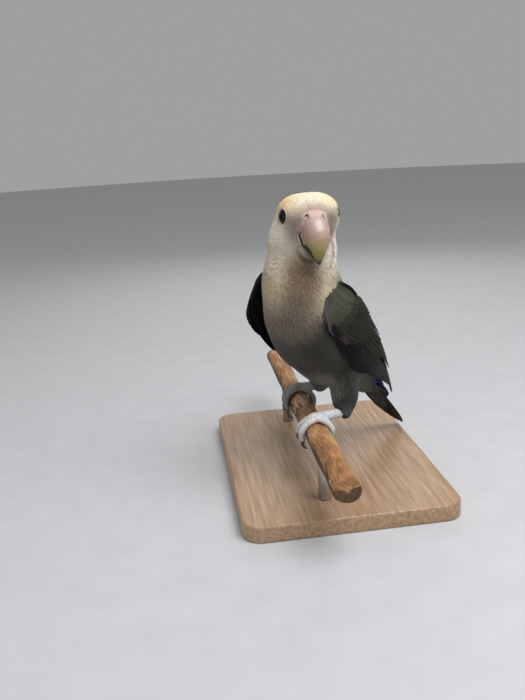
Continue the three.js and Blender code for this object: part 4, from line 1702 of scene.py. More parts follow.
@dataclass(frozen=True)
class WingForm:
    """The folded wing as a sheet round the trunk, by stations tailwards from the wrist."""

    starts: tuple[float, float] = (-5, -8)
    pad_end: float = 50
    pad_under: float = -1.3
    side_radius: tuple = ((-8, 15), (2, 20), (14, 21), (30, 21.6), (46, 20.6), (65, 15.8), (93, 7.5))
    back_radius: tuple = ((-8, 13), (2, 19.6), (14, 20.6), (30, 20.8), (46, 19.6), (65, 14.6), (93, 7.5))
    middle: tuple = ((-8, 4), (14, 3.6), (40, 5), (65, 10.5), (93, 16.9))
    lower_edge: tuple = ((-8, -8), (0, -31), (20, -34), (45, -26), (70, 6), (93, 57))
    upper_edge: tuple = (
        (-8, 14), (0, 22), (8, 28), (14, 42), (20, 62), (27, 79), (60, 84), (80, 80), (93, 74)
    )
    pad_top: tuple = ((-8, 0.4), (2, 1.7), (20, 1.5), (50, -0.1))
    lift: tuple = ((-8, 0.95), (4, 0.88), (25, 0.6), (50, 0.05), (93, 0))
    held: tuple[float, float] = (1.5, 9.5)
    apart: float = 0.7
    pad_fade: tuple[float, float, float] = (0.72, 1.0, 0.7)

    def start(self, side: Side) -> float:
        """Where the wing begins, which is further back on the left."""
        return self.starts[0] if side is Side.LEFT else self.starts[1]

    def pad(self, station: Array, share: Array) -> Array:
        """How far the wing's pad stands over the sheet, thinning towards the upper edge."""
        low, high, most = self.pad_fade
        return along(self.pad_top, station) * (1 - most * ease(low, high, share))

    def point(self, side: Side, station: Array, angle: Array, height: Array) -> Array:
        """Points of the sheet.

        Args:
            side: The bird's side.
            station: How far tailwards from the wrist.
            angle: How far up from the flank, in degrees.
            height: How far over the sheet.

        Returns:
            The points.
        """
        turn = np.radians(angle)
        low = along(self.lower_edge, station)
        drop = np.clip((90 - angle) / (90 - low), 0, 1)
        held = self.held[0] if side is Side.LEFT else self.held[1]
        off = height + held * along(self.lift, station) * drop ** 1.5
        return POSE.trunk(
            station,
            along(self.middle, station) + (along(self.back_radius, station) + off) * np.sin(turn),
            side.value * (along(self.side_radius, station) + off) * np.cos(turn),
        )


WING_FORM = WingForm()


@dataclass(frozen=True)
class WingRow:
    """A row of wing feathers from the lower edge to the back."""

    count: int
    line: tuple[float, float]
    root: tuple[float, float]
    tip: tuple[float, float]
    half: float
    height: tuple[float, float]
    tints: PlumeTint
    far_tints: PlumeTint | None = None
    outline: tuple = COVERT_OUTLINE
    tilt: float = 0.3
    skew: float = 0
    on_pad: bool = False


BLACK_VANE = PlumeTint("#08080a", "#131319", "#08080a", shaft="#050506", edge_share=0.6)
OLIVE = PlumeTint("#24251b", "#3b3c2c", "#353627", shaft="#15160f", edge_share=0.6)
OLIVE_LONG = PlumeTint("#191b12", "#363926", "#262819", shaft="#0c0d09", edge_share=0.7)
OLIVE_TIPPED = PlumeTint("#191b12", "#363926", "#0a0a0c", shaft="#0c0d09", edge_share=0.7)
SHOULDER = PlumeTint("#4b4a3d", "#605f50", "#5f5e4f", shaft="#34332b", edge_share=0.5)
SADDLE = PlumeTint("#34352a", "#4a4b3b", "#444535", shaft="#212219", edge_share=0.5)
VIOLET = PlumeTint("#0d0d11", "#1d1d25", "#15151b", shaft="#08080a", edge_share=0.6)
RIM = PlumeTint("#62616c", "#7d7c89", "#706f7b", shaft="#4a4952", edge_share=0.5)
WORN_SHAFT = PlumeTint("#6a5e56", "#7d7067", "#4c433e", shaft="#94867b", edge_share=0.4)


@dataclass
class Wing:
    """One folded wing: a thin core, flight feathers and rows of coverts."""

    side: Side
    rows: dict[str, WingRow] = field(default_factory=lambda: {
        "primaries": WingRow(9, (0.09, 0.42), (34, 38), (93, 66), 2.7, (-0.9, -0.2),
                             BLACK_VANE, OLIVE_TIPPED, outline=FLIGHT_OUTLINE, skew=-0.25),
        "secondaries": WingRow(11, (0.42, 0.98), (30, 27), (67, 57), 2.7, (0, 0.8),
                               VIOLET, OLIVE_LONG, outline=FLIGHT_OUTLINE, skew=-0.15),
        "primary_coverts": WingRow(8, (0.03, 0.36), (25, 23), (44, 46), 2.0, (0.1, 0.9),
                                   BLACK_VANE, OLIVE_LONG, skew=-0.1),
        "greater_coverts": WingRow(12, (0.3, 0.97), (21, 18), (44, 38), 2.3, (0.5, 1.3),
                                   VIOLET, OLIVE_LONG),
        "alula": WingRow(4, (0.03, 0.2), (10, 12), (32, 28), 1.7, (0.9, 1.6), BLACK_VANE),
        "median_coverts": WingRow(15, (0.16, 0.97), (13, 11), (28, 25), 1.9, (0.9, 1.5),
                                  VIOLET, OLIVE),
        "worn_shafts": WingRow(5, (0.07, 0.17), (12, 12), (20, 20), 0.17, (1.75, 2.0), WORN_SHAFT),
        # Narrow black feathers at the wing's upper edge near the wrist: painted shade in the gap between
        # mantle and wing
        "inner_black": WingRow(3, (0.95, 1.0), (-3, -4), (8, 7), 0.6, (1.1, 0.9), BLACK_VANE,
                               on_pad=True),
    })
    small_rows: int = 9
    small_end: float = 14
    small_count: int = 23
    small_length: float = 10.5
    small_half: float = 1.25
    rim_count: int = 4
    stray: tuple[float, ...] = (0.5, 0.6, 1, 0.06)
    blend: tuple[float, float] = (0.08, 0.22)

    def build(self, finish: Material) -> None:
        """Makes the wing's pieces.

        Args:
            finish: The feathers' finish.
        """
        node = f"wing_{self.side.word}"
        draw = np.random.default_rng(SEED + 5 + self.side.value)
        groups = {
            "flight": ("primaries", "secondaries"),
            "coverts": tuple(key for key in self.rows if key not in ("primaries", "secondaries")),
        }
        for group, keys in groups.items():
            vane = Vane() if group == "flight" else Vane(across_faces=6, long_faces=14)
            feathers = Feathering(vane, draw)
            for key in keys:
                self._row(feathers, self.rows[key], draw)
            if group == "coverts":
                self._small_rows(feathers, draw)
            piece = feathers.build(f"wing_{group}_{self.side.word}")
            place_piece(piece, finish, (node,))
        core = plain_core(f"wing_core_{self.side.word}", self._core, (40, 40), "#1d1e1c")
        place_piece(core, finish, (node,))

    def _small_rows(self, feathers: Feathering, draw: np.random.Generator) -> None:
        """Adds the lesser coverts from the hindmost row to the wrist, and the pale rim.

        Args:
            feathers: The wing's coverts so far.
            draw: The source of random values.
        """
        for k in reversed(range(self.small_rows)):
            start = mix(WING_FORM.start(self.side), self.small_end, k / (self.small_rows - 1))
            near = min(0.2, 0.02 + 0.02 * (k % 2) + max(0.0, start - 6) * 0.02)
            self._row(feathers, WingRow(
                self.small_count, (near, 0.98), (start, start - 1.5),
                (start + self.small_length, start + self.small_length - 2.5), self.small_half,
                (-0.75, 0.25), SHOULDER if start < -3 else VIOLET,
                SHOULDER if start < -2 else SADDLE if start < 4 else OLIVE,
                on_pad=True,
            ), draw)
        for k in reversed(range(self.rim_count)):
            start = -4 + 2.6 * k
            self._row(feathers, WingRow(
                2, (0.0, 0.01), (start, start), (start + 6, start + 6), 0.3, (-0.4, 0.45), RIM,
                on_pad=True,
            ), draw)

    def _row(self, feathers: Feathering, row: WingRow, draw: np.random.Generator) -> None:
        """Adds one row of feathers.

        Args:
            feathers: The feathers so far.
            row: The row.
            draw: The source of random values.
        """
        for i in range(row.count):
            share = i / (row.count - 1)
            stray = [draw.uniform(-most, most) for most in self.stray]
            root, tip = mix(*row.root, share) + stray[0], mix(*row.tip, share) + stray[1]
            line = np.float64(mix(*row.line, share))
            blend = ease(*self.blend, line)

            def place(v: Array, across: Array, height: Array) -> Array:
                """Points of this feather on the folded wing."""
                station = mix(root, tip, v)
                radius = np.maximum(along(WING_FORM.side_radius, station), 10)
                low = along(WING_FORM.lower_edge, station)
                high = along(WING_FORM.upper_edge, station)
                most = 90 - np.degrees((row.half + WING_FORM.apart) / radius)
                middle = np.minimum(mix(low, high, line) + stray[2] * v, most)
                angle = middle + np.degrees(across / radius)
                lean = -row.tilt * across / row.half
                if row.on_pad:
                    lean = lean + WING_FORM.pad(station, line)
                over = mix(*row.height, v) + height + lean + stray[3] * v
                return WING_FORM.point(self.side, station, angle, over)

            def tints(u: Array, v: Array) -> Array:
                """Its colours, between the row's near and far ones."""
                near = row.tints.at(u, v)
                return mix(near, row.far_tints.at(u, v), blend) if row.far_tints else near

            feathers.add(place, row.half, row.outline, tints, row.skew)

    def _core(self, around: Array, lengthways: Array) -> Array:
        """The wing's flesh and bone: a thin pad with rounded edges."""
        form = WING_FORM
        station = mix(form.start(self.side) + 0.6, form.pad_end, lengthways)
        low = along(form.lower_edge, station) + 1.5
        high = along(form.upper_edge, station) - 1
        turn = math.tau * around
        share = (1 - np.cos(turn)) / 2
        thick = np.sin(turn) * rounded(lengthways, 8)
        height = mix(form.pad_under, form.pad(station, share) - 0.7, (1 + thick) / 2)
        return form.point(self.side, station, mix(low, high, share), height)


@dataclass(frozen=True)
class TailRow:
    """A row of tail feathers from the middle outwards."""

    count: int
    root: float
    tip: float
    shorten: float
    half: float
    spread: tuple[float, float]
    height: float
    drop: float
    tints: PlumeTint
    outline: tuple = COVERT_OUTLINE


SLATE_TAIL = PlumeTint("#24272b", "#35383d", "#46474a", shaft="#141517", base="#2b3158")
TAIL_BLUE = PlumeTint("#525893", "#666ca8", "#646a9e", shaft="#383c60")
UNDER_GREY = PlumeTint("#484c48", "#5a5e58", "#474a4b", shaft="#333635")


@dataclass
class Tail:
    """The tail: twelve feathers in a shallow roof, with coverts above and below."""

    back: tuple = ((60, 15), (80, 16.9), (93, 18.6), (117, 22.6))
    under: tuple = ((60, 4), (75, 9.5), (86, 14.6))
    half_width: tuple = ((60, 7), (75, 6.6), (86, 5.6))
    core_ends: tuple[float, float] = (60, 86)
    sway: tuple[float, float, float] = (66, 118, 2.4)
    above: tuple[TailRow, ...] = (
        TailRow(12, 66, 118.5, 0.5, 2.6, (0.68, 0.85), -0.6, 0.42, SLATE_TAIL, FLIGHT_OUTLINE),
        TailRow(8, 66, 92, 0.5, 2.5, (1.9, 2.0), 0.3, 0.5, TAIL_BLUE),
        TailRow(7, 60, 84, 0.6, 2.6, (2.1, 2.2), 0.75, 0.5, TAIL_BLUE),
    )
    below: tuple[TailRow, ...] = (
        TailRow(7, 66, 98, 1.4, 2.6, (1.6, 1.7), 0.2, 0.045, UNDER_GREY),
        TailRow(8, 60, 90, 1.0, 2.3, (1.5, 1.6), -0.1, 0.045, UNDER_GREY),
        TailRow(8, 56, 81, 0.8, 2.2, (1.5, 1.6), -0.5, 0.045, UNDER_GREY),
    )

    def build(self, finish: Material) -> None:
        """Makes the tail's pieces.

        Args:
            finish: The feathers' finish.
        """
        draw = np.random.default_rng(SEED + 9)
        sides = (("tail_upper", self.above, self._over), ("tail_under", self.below, self._beneath))
        for name, rows, make in sides:
            feathers = Feathering(Vane(), draw)
            for row in rows:
                for i in range(row.count):
                    place = make(row, i - (row.count - 1) / 2, draw)
                    feathers.add(place, row.half, row.outline, row.tints.at)
            place_piece(feathers.build(name), finish, ("tail",))
        core = plain_core("tail_core", self._core, (24, 12), "#3c3d39")
        place_piece(core, finish, ("tail",))

    def _over(self, row: TailRow, across_place: float, draw: np.random.Generator) -> Callable:
        """How a feather of an upper row is laid.

        Args:
            row: The row.
            across_place: The feather's number from the middle, positive to the left.
            draw: The source of random values.

        Returns:
            The function that gives its points.
        """
        away = abs(across_place)
        tip = row.tip - row.shorten * away ** 2 + draw.uniform(-0.5, 0)

        def place(v: Array, across: Array, height: Array) -> Array:
            """Points of this feather."""
            station = mix(row.root, tip, v)
            left = across_place * mix(*row.spread, v) + across + self._aside(station)
            seam = 0.16 if across_place > 0 else 0
            roof = row.drop * away + 0.05 * np.abs(across) + seam
            return POSE.trunk(station, along(self.back, station) + row.height - roof + height, left)

        return place

    def _beneath(self, row: TailRow, across_place: float, draw: np.random.Generator) -> Callable:
        """How a feather of a lower row is laid, with the same arguments as an upper one."""
        tip = row.tip - row.shorten * across_place ** 2 + draw.uniform(-0.6, 0)

        def place(v: Array, across: Array, height: Array) -> Array:
            """Points of this feather."""
            station = mix(row.root, tip, v)
            low = np.minimum(along(self.under, station), along(self.back, station) - 4.6)
            left = across_place * mix(*row.spread, v) + across
            lean = 0.2 + row.height + row.drop * left ** 2 - 0.4 * v
            return POSE.trunk(station, low + lean - height, left + self._aside(station))

        return place

    def _aside(self, station: Array) -> Array:
        """How far the tail is swung to the bird's left."""
        start, end, most = self.sway
        return most * ease(start, end, station)

    def _core(self, around: Array, lengthways: Array) -> Array:
        """The tail's fleshy root."""
        station = mix(*self.core_ends, lengthways)
        turn = math.tau * around
        high, low = along(self.back, station) - 1.6, along(self.under, station) + 0.4
        half = along(self.half_width, station) - 0.5
        return POSE.trunk(station, mix(low, high, (1 + np.cos(turn)) / 2), half * np.sin(turn))


# Bill, cere, eyes
@dataclass
class Bill:
    """The two halves of the bill and the bare skin over its root."""

    def build(self, horn: Material, soft: Material) -> list[Thing]:
        """Makes both halves and the cere.

        Args:
            horn: The finish of the bill.
            soft: The finish of the bare skin.

        Returns:
            The three pieces.
        """
        pieces = []
        for half, colour in ((UPPER, self._upper_colours), (LOWER, self._lower_colours)):
            def shape(around: Array, lengthways: Array) -> Array:
                """The half with low rings of growth."""
                growth = 0.05 * np.sin(lengthways * 46 + 2 * np.sin(around * 12.6))
                return half.shape(around, lengthways, proud=growth)

            piece = wrapped(half.node, shape, 96, 72, sharp=70)
            tint(piece, colour(points_of(piece)))
            pieces.append(place_piece(piece, horn, (half.node,)))
        cere = wrapped("cere", self._cere, 120, 40, sharp=80)
        tint(cere, self._cere_colours(points_of(cere)))
        pieces.append(place_piece(cere, soft, ("bill_upper",)))
        return pieces

    @staticmethod
    def _upper_colours(points: Array) -> Array:
        """Pink at the root, olive yellow down the hook and dark at its tip, with painted light and shade on
        its sides.
        """
        _, left, up = POSE.head_of(points).T
        # The bands reach lower on the bird's left: painted light on that side and painted shade on the
        # right
        level = up + 0.3 * left
        # A mauve tint on both flanks, darker than the top: partly the bill's own mauve and partly painted
        # shade
        side = ease(1.5, 5, np.abs(left)) * ease(-6, -1.5, up)
        return painted(
            points, "#b9a196",
            ("#a0836c", ease(2, -4.5, level)), ("#94835a", ease(-2.5, -8, level)),
            ("#837639", ease(-6, -10.5, level)), ("#776a29", ease(-8.5, -11.5, up)),
            ("#2a231a", ease(-12.0, -13.8, up)), ("#a98178", side * 0.45),
        )

    @staticmethod
    def _lower_colours(points: Array) -> Array:
        """Greyish horn, darker where it goes under the upper half and along its lower edge, partly its dark
        cutting edge and partly painted shade.
        """
        forward, left, up = POSE.head_of(points).T
        # Painted shade next to the upper half and along the lower edge, over a dark cutting edge
        cover = mix(4.9, 1.2, ease(-7, -14, up))
        rim = 1 - ease(0.2, 0.9, np.abs(left + 0.5) - cover) + ease(-12.9, -13.6, up)
        return painted(
            points, "#a09989",
            ("#645d48", ease(11, 14, forward)), ("#3a3422", np.clip(rim, 0, 1) * 0.8),
        )

    @staticmethod
    def _cere_frame(around: Array, lengthways: Array) -> tuple[Array, Array]:
        """Places of the band on the bill's root, and how thick it is there, from -1 to 1."""
        turn = math.tau * around
        sweep = mix(-CERE.reach, CERE.reach, (1 - np.cos(turn)) / 2)
        station = mix(CERE.start, CERE.end, lengthways)
        edge = np.abs(sweep) / CERE.reach
        back = rounded(lengthways)
        front = 1 - ease(0.45, 1, lengthways) - 0.2 * ease(0.8, 1, lengthways)
        dome = np.sqrt(np.clip(1 - edge ** 4, 0, 1)) * np.where(lengthways < 0.5, back, front)
        return np.stack([sweep % 1, station], axis=-1), np.where(np.sin(turn) > 0, dome, -0.35)

    def _cere(self, around: Array, lengthways: Array) -> Array:
        """The band, with the nostrils as pits with a raised rim."""
        places, dome = self._cere_frame(around, lengthways)
        flat = UPPER.shape(places[:, 0], places[:, 1], proud=0.05)
        proud = UPPER.shape(places[:, 0], places[:, 1], proud=0.05 + CERE.proud)
        points = mix(flat, proud, dome[:, None])
        inward = unit(POSE.head(6, 0, -1) - points)
        ripple = 0.07 * np.sin(places[:, 1] * 150 + 3 * np.sin(places[:, 0] * 40)) * (dome > 0)
        points = points + inward * ripple[:, None]
        for nostril in self._nostrils(points):
            far = lengths(points - nostril)
            rim = CERE.rim * np.exp(-((far - CERE.rim_at) / 0.5) ** 2)
            sink = CERE.pit_depth * (1 - ease(0.25, CERE.pit, far)) - rim
            points = points + inward * (sink * (dome > 0))[:, None]
        return points

    @staticmethod
    def _nostrils(points: Array) -> list[Array]:
        """The points of a surface that are nearest to the two nostrils."""
        middle = POSE.head(6, 0, -1)
        outer = [nostril + 2.5 * unit(nostril - middle) for nostril in FACE.nostrils.values()]
        return [points[np.argmin(lengths(points - spot))] for spot in outer]

    def _cere_colours(self, points: Array) -> Array:
        """Pinkish skin, with painted shade inside the nostrils, fainter in the left one."""
        return painted(points, "#c9ab9f", *(
            ("#2c1815", (1 - ease(0.5, 0.95, lengths(points - nostril))) * dark)
            for nostril, dark in zip(self._nostrils(points), (0.55, 1))
        ))


@dataclass
class Eyes:
    """The eyeballs and the thin pale ring of lids round each."""

    pupil: float = 1.5
    iris: float = 2.5

    def build(self, gloss: Material, soft: Material) -> None:
        """Makes both eyes.

        Args:
            gloss: The finish of the eyeballs.
            soft: The finish of the lids.
        """
        for side in Side:
            bm = bmesh.new()
            bmesh.ops.create_uvsphere(bm, u_segments=56, v_segments=36, radius=EYES.radius)
            turn = Vector((0, 0, 1)).rotation_difference(Vector(EYES.outward(side)))
            place = Matrix.Translation(EYES.centre(side)) @ turn.to_matrix().to_4x4()
            bmesh.ops.transform(bm, matrix=place, verts=bm.verts)
            ball = mesh_object(f"eye_{side.word}", MeshArrays.of(bm))
            tint(ball, self._colours(points_of(ball), side))
            place_piece(ball, gloss, (f"eye_{side.word}",))
            ring = wrapped(f"lids_{side.word}", partial(self._lids, side), 20, 72)
            tint(ring, painted(points_of(ring), "#d8cbbb"))
            place_piece(ring, soft, ("head",))

    def _colours(self, points: Array, side: Side) -> Array:
        """A black pupil in a dark brown iris."""
        offset = points - EYES.centre(side)
        aim = EYES.outward(side)
        away = lengths(offset - dots(offset, aim) * aim)
        return painted(
            points, "#070505", ("#0f0a08", 1 - ease(self.iris, self.iris + 0.2, away)),
            ("#030303", 1 - ease(self.pupil, self.pupil + 0.15, away)),
        )

    @staticmethod
    def _lids(side: Side, around: Array, lengthways: Array) -> Array:
        """A ring round the eye: a little pointed fore and aft, and creased across.

        Args:
            side: Which eye.
            around: Shares round the lid's section.
            lengthways: Shares round the eye.

        Returns:
            The points.
        """
        aim = EYES.outward(side)
        up = unit(np.array([0, 0, 1.0]) - aim * aim[2])
        fore = np.cross(up, aim) * side.value
        turn = math.tau * lengthways
        roll = math.tau * around
        centre = EYES.centre(side, EYES.lid_sunk)
        slope = math.radians(EYES.lid_slope)
        corner = 0.22 * np.abs(np.cos(turn)) ** 6
        wide = EYES.lid_width * np.cos(roll)
        thick = EYES.lid_thickness * (1 + 0.12 * np.sin(turn * 26)) * np.sin(roll)
        radius = EYES.lid_radius + corner - wide * math.cos(slope) - thick * math.sin(slope)
        rise = thick * math.cos(slope) - wide * math.sin(slope)
        outward = np.cos(turn)[:, None] * fore + np.sin(turn)[:, None] * up
        return centre + outward * radius[:, None] + aim * rise[:, None]


@dataclass
class MouthCorners:
    """The bare folds of skin at the corners of the mouth, each with a dark line in it, partly the mouth's
    own dark red and partly painted shade in the slit.
    """

    half: float = 1.6
    proud: float = 0.5
    groove: float = 0.9
    slit: float = 0.55

    def build(self, soft: Material) -> None:
        """Makes both folds.

        Args:
            soft: The finish of bare skin.
        """
        for side in Side:
            fold = wrapped(f"mouth_corner_{side.word}", partial(self._shape, side), 32, 40)
            away = FACE.gape_distance(points_of(fold))
            # Dark along the mouth's line: the mouth's dark red deepened with painted shade in the slit
            tint(fold, painted(away, "#2a1411", ("#aca294", ease(0.42, 0.72, away))))
            place_piece(fold, soft, ("head",))

    def _shape(self, side: Side, around: Array, lengthways: Array) -> Array:
        """A fold along the line of the mouth.

        Args:
            side: Which corner.
            around: Shares round the fold's section.
            lengthways: Shares from the corner to the bill.

        Returns:
            The points.
        """
        line = FACE.gapes[side]
        centre, normal = FLESH.onto(curve_through(line, lengthways))
        ahead = way_along(line, lengthways, step=0.02)
        sideways = unit(np.cross(normal, ahead))
        turn = math.tau * around
        blunt = rounded(lengthways)
        across = np.cos(turn) * self.half * blunt
        lift = powered(np.sin(turn), 0.6) * self.proud * blunt
        slit = self.slit * np.sin(math.pi * np.clip(lengthways * 1.25, 0, 1)) + 0.12
        lift = lift - self.groove * np.exp(-(across / slit) ** 2) * (np.sin(turn) > 0) * blunt
        return centre + sideways * across[:, None] + normal * (lift - 0.1)[:, None]


# Feet, claws
@dataclass(frozen=True)
class Branch:
    """The cut length of branch that the bird grips, with knots along it."""

    x: float = -10
    z: float = 34
    radius: float = 5.6
    taper: float = 0.005
    half_length: float = 95

    def radius_at(self, turn: Array, y: Array) -> Array:
        """The radius at an angle from straight up and a place along it."""
        knots = 0.22 * np.sin(3 * turn + y / 17) + 0.16 * np.sin(2 * turn - y / 9)
        return self.radius - self.taper * (y - LEGS[0].foot_y) + knots

    def around(self, foot_y: float, angle: float, radius: float, shift: float) -> Array:
        """A point round the branch, by its angle up from the side that the bird faces away from."""
        turn = math.radians(angle)
        return np.array([
            self.x + radius * math.cos(turn), foot_y + shift, self.z + radius * math.sin(turn)
        ])


BRANCH = Branch()


@dataclass(frozen=True)
class Limb:
    """A round limb along a few points, with a radius at stations along it."""

    points: tuple[Array, ...]
    radii: tuple[float, ...]
    above: tuple[float, float, float]
    scutes: float = 0
    start_round: float = 0.05
    end_round: float = 0.08

    def shape(self, around: Array, lengthways: Array) -> Array:
        """The limb's surface.

        Args:
            around: Shares round the limb.
            lengthways: Shares from its start to its end.

        Returns:
            The points.
        """
        centre = curve_through(self.points, lengthways)
        ahead = way_along(self.points, lengthways, step=0.01)
        up = unit(np.array(self.above) - ahead * dots(np.array(self.above)[None], ahead))
        side = np.cross(ahead, up)
        stations = list(zip(np.linspace(0, 1, len(self.radii)), self.radii))
        turn = math.tau * around
        start = np.clip(lengthways / self.start_round, 0, 1)
        end = np.clip((1 - lengthways) / self.end_round, 0, 1)
        cap = np.sqrt(1 - (1 - start) ** 2) * np.sqrt(1 - (1 - end) ** 2)
        radius = along(stations, lengthways) * cap
        if self.scutes:
            length = np.linalg.norm(np.diff(np.array(self.points), axis=0), axis=1).sum()
            phase = lengthways * length / self.scutes + 0.3 * np.sin(lengthways * 23)
            plate = np.abs(np.sin(math.pi * phase)) ** 0.5
            top = 0.35 + 0.65 * ease(-0.5, 0.5, np.cos(turn))
            radius = radius * (1 - 0.15 * (1 - plate) * top)
        return (
            centre + up * (radius * np.cos(turn))[:, None] + side * (radius * np.sin(turn))[:, None]
        )


@dataclass(frozen=True)
class ToeSizes:
    """One toe's way round the branch, in degrees, and how far it moves along it."""

    number: int
    start: float
    end: float
    spread: tuple[float, float, float]


@dataclass
class Foot:
    """A foot: tarsus and four scaly toes in one skin, with four claws."""

    leg: Leg
    step: float = 0
    toe_radius: float = 1.8
    tip_radius: float = 1.3
    claw_radius: float = 1
    claw_length: float = 5.5
    shaded: float = 0.42
    toes: tuple[ToeSizes, ...] = (
        ToeSizes(2, 70, 196, (0.9, 1.9, 3.6)),
        ToeSizes(3, 70, 208, (-0.9, -2.4, -3.4)),
        ToeSizes(1, 94, -4, (1, 2.2, 3.4)),
        ToeSizes(4, 94, -24, (-1, -2.4, -3.8)),
    )

    def build(self, skin: Material, horn: Material) -> None:
        """Makes the foot and its claws.

        Args:
            skin: The finish of the scaly skin.
            horn: The finish of the claws.
        """
        word = self.leg.side.word
        limbs = [mapped(self._tarsus().shape, 30, 60), mapped(self._pad().shape, 30, 40)]
        limbs += [mapped(self._toe(toe).shape, 30, 90) for toe in self.toes]
        foot = mesh_object(f"foot_{word}", MeshArrays.of(merged(limbs)))
        one_skin(foot, voxel=0.2, smoothing=2)
        foot.data.polygons.foreach_set("use_smooth", np.ones(len(foot.data.polygons), bool))
        tint(foot, self._colours(points_of(foot)))
        place_piece(foot, skin, (f"foot_{word}",))
        for toe in self.toes:
            name = f"claw_{word}_{toe.number}"
            claw = wrapped(name, self._claw(toe).shape, 24, 36)
            far = lengths(points_of(claw) - self._claw(toe).points[-1])
            tint(claw, painted(far, "#1b1918", ("#4b4541", ease(1, 5.5, far))))
            place_piece(claw, horn, (name,))

    def _path(self, toe: ToeSizes, shares: Iterable[float]) -> list[Array]:
        """Points of a toe's middle line."""
        radius = BRANCH.radius + self.toe_radius - 0.2
        root, middle, end = toe.spread
        way = ((0, root + self.step), (0.5, middle + self.step), (1, end))
        return [
            BRANCH.around(
                self.leg.foot_y, mix(toe.start, toe.end, share), radius, float(along(way, share))
            )
            for share in shares
        ]

    def _toe(self, toe: ToeSizes) -> Limb:
        """A toe with its joints and scutes."""
        full, tip = self.toe_radius, self.tip_radius
        return Limb(
            tuple(self._path(toe, np.linspace(0, 1, 7))),
            (full, full * 0.92, full * 1.02, full * 0.88, full * 0.96, full * 0.82, tip),
            above=(0, 1, 0), scutes=1.25, end_round=0.1,
        )

    def _tarsus(self) -> Limb:
        """The bare shank from the heel to the branch."""
        heel = POSE.bird(self.leg.heel)
        foot = BRANCH.around(self.leg.foot_y, 84, BRANCH.radius + self.toe_radius + 0.1, self.step)
        return Limb(
            (heel, mix(heel, foot, 0.5), foot), (2.6, 2.3, 2.4), above=(-0.6, -0.8, 0), scutes=1.4
        )

    def _pad(self) -> Limb:
        """The thick middle of the foot, over the branch."""
        spots = [
            BRANCH.around(self.leg.foot_y, angle, BRANCH.radius + 1.9, self.step)
            for angle in (128, 90, 56)
        ]
        return Limb(tuple(spots), (1.9, 2.5, 2.0), above=(0, 1, 0), start_round=0.25, end_round=0.25)

    def _claw(self, toe: ToeSizes) -> Limb:
        """A curved, tapering claw from the toe's end."""
        before, end = self._path(toe, (0.9, 1))
        ahead = unit(end - before)
        away = unit(end - np.array([BRANCH.x, end[1], BRANCH.z]))
        reach = self.claw_length
        steps = ((-0.4, 0.2), (reach * 0.35, 0.9), (reach * 0.72, 0.6), (reach, -0.6))
        radius = self.claw_radius
        return Limb(
            tuple(end + ahead * far + away * lift for far, lift in steps),
            (radius, radius * 0.8, radius * 0.5, 0.16), above=(0, 1, 0), end_round=0.03,
        )

    def _colours(self, points: Array) -> Array:
        """Pale grey and pinker at the soles, and much darker on the shaded right foot."""
        inner = np.hypot(points[:, 0] - BRANCH.x, points[:, 2] - BRANCH.z)
        sole = 1 - ease(BRANCH.radius + 0.4, BRANCH.radius + 1.6, inner)
        colours = painted(points, "#e4e4e1", ("#b5a49c", sole))
        return colours if self.leg.side is Side.LEFT else colours * self.shaded


@dataclass
class Perch:
    """The branch as modelled: knots, long cracks, flat cut ends and scraps of bark, with the bird's shadow
    painted on between the feet.
    """

    turns: int = 96
    steps: int = 260
    cut: float = 0.03

    def build(self, finish: Material) -> None:
        """Makes the branch.

        Args:
            finish: The finish of peeled wood.
        """
        branch = wrapped("perch", self._shape, self.turns, self.steps, sharp=50)
        points = points_of(branch)
        # The bark attribute also holds the bird's painted shadow between the feet
        attribute = branch.data.attributes.new("bark", "FLOAT", "POINT")
        attribute.data.foreach_set("value", self._bark_and_shadow(points).astype(np.float32))
        place_piece(branch, finish, ("perch",))

    @staticmethod
    def _waves(turn: Array, y: Array) -> Array:
        """Uneven low waves round and along the branch, from -1 to 1."""
        return (
            np.sin(y / 6.3 + 2.1 * np.sin(turn)) + np.sin(y / 3.7 - 3 * turn)
            + np.sin(y / 11 + 5 * turn + 1) + np.sin(y / 2.3 + 7 * turn + 2 * np.sin(y / 15))
        ) / 4

    def _shape(self, around: Array, lengthways: Array) -> Array:
        """The branch, whose last rings close over its cut ends.

        Args:
            around: Shares round it.
            lengthways: Shares along it.

        Returns:
            The points.
        """
        inner = np.clip(np.minimum(lengthways, 1 - lengthways) / self.cut, 0, 1)
        share = np.clip((lengthways - self.cut) / (1 - 2 * self.cut), 0, 1)
        y = BRANCH.half_length * (2 * share - 1)
        turn = math.tau * around
        crack = 0.1 * np.exp(-((turn - 1.2 - 0.3 * np.sin(y / 30)) / 0.05) ** 2)
        fine = 0.07 * np.sin(turn * 23 + np.sin(y / 9)) * np.sin(y / 14 + turn * 5)
        radius = BRANCH.radius_at(turn, y) - 0.12 + 0.12 * self._waves(turn, y) + fine - crack
        radius = radius * np.where(inner < 1, inner ** 0.6, 1)
        return np.stack([
            BRANCH.x + radius * np.sin(turn), y, BRANCH.z + radius * np.cos(turn)
        ], axis=-1)

    def _bark_and_shadow(self, points: Array) -> Array:
        """Where dark bark is left, in ragged strips low on both sides, and the bird's shadow painted in the
        same dark between the feet.
        """
        turn = np.arctan2(points[:, 0] - BRANCH.x, points[:, 2] - BRANCH.z)
        ragged = self._waves(turn * 2, points[:, 1] * 1.7)
        side = ease(1.1, 1.5, np.abs(turn) + 0.35 * ragged)
        spots = ease(0.55, 0.8, self._waves(turn * 3 + 1, points[:, 1] * 2.3))
        # Painted shadow of the bird on the branch between the feet, broken into patches
        patchy = ease(-0.5, 0.6, self._waves(turn * 2, points[:, 1]))
        bird_shadow = np.exp(-((points[:, 1] + 8) / 15) ** 2) * patchy
        return np.clip(side * 0.85 + spots * 0.6 + bird_shadow * 0.9, 0, 1)


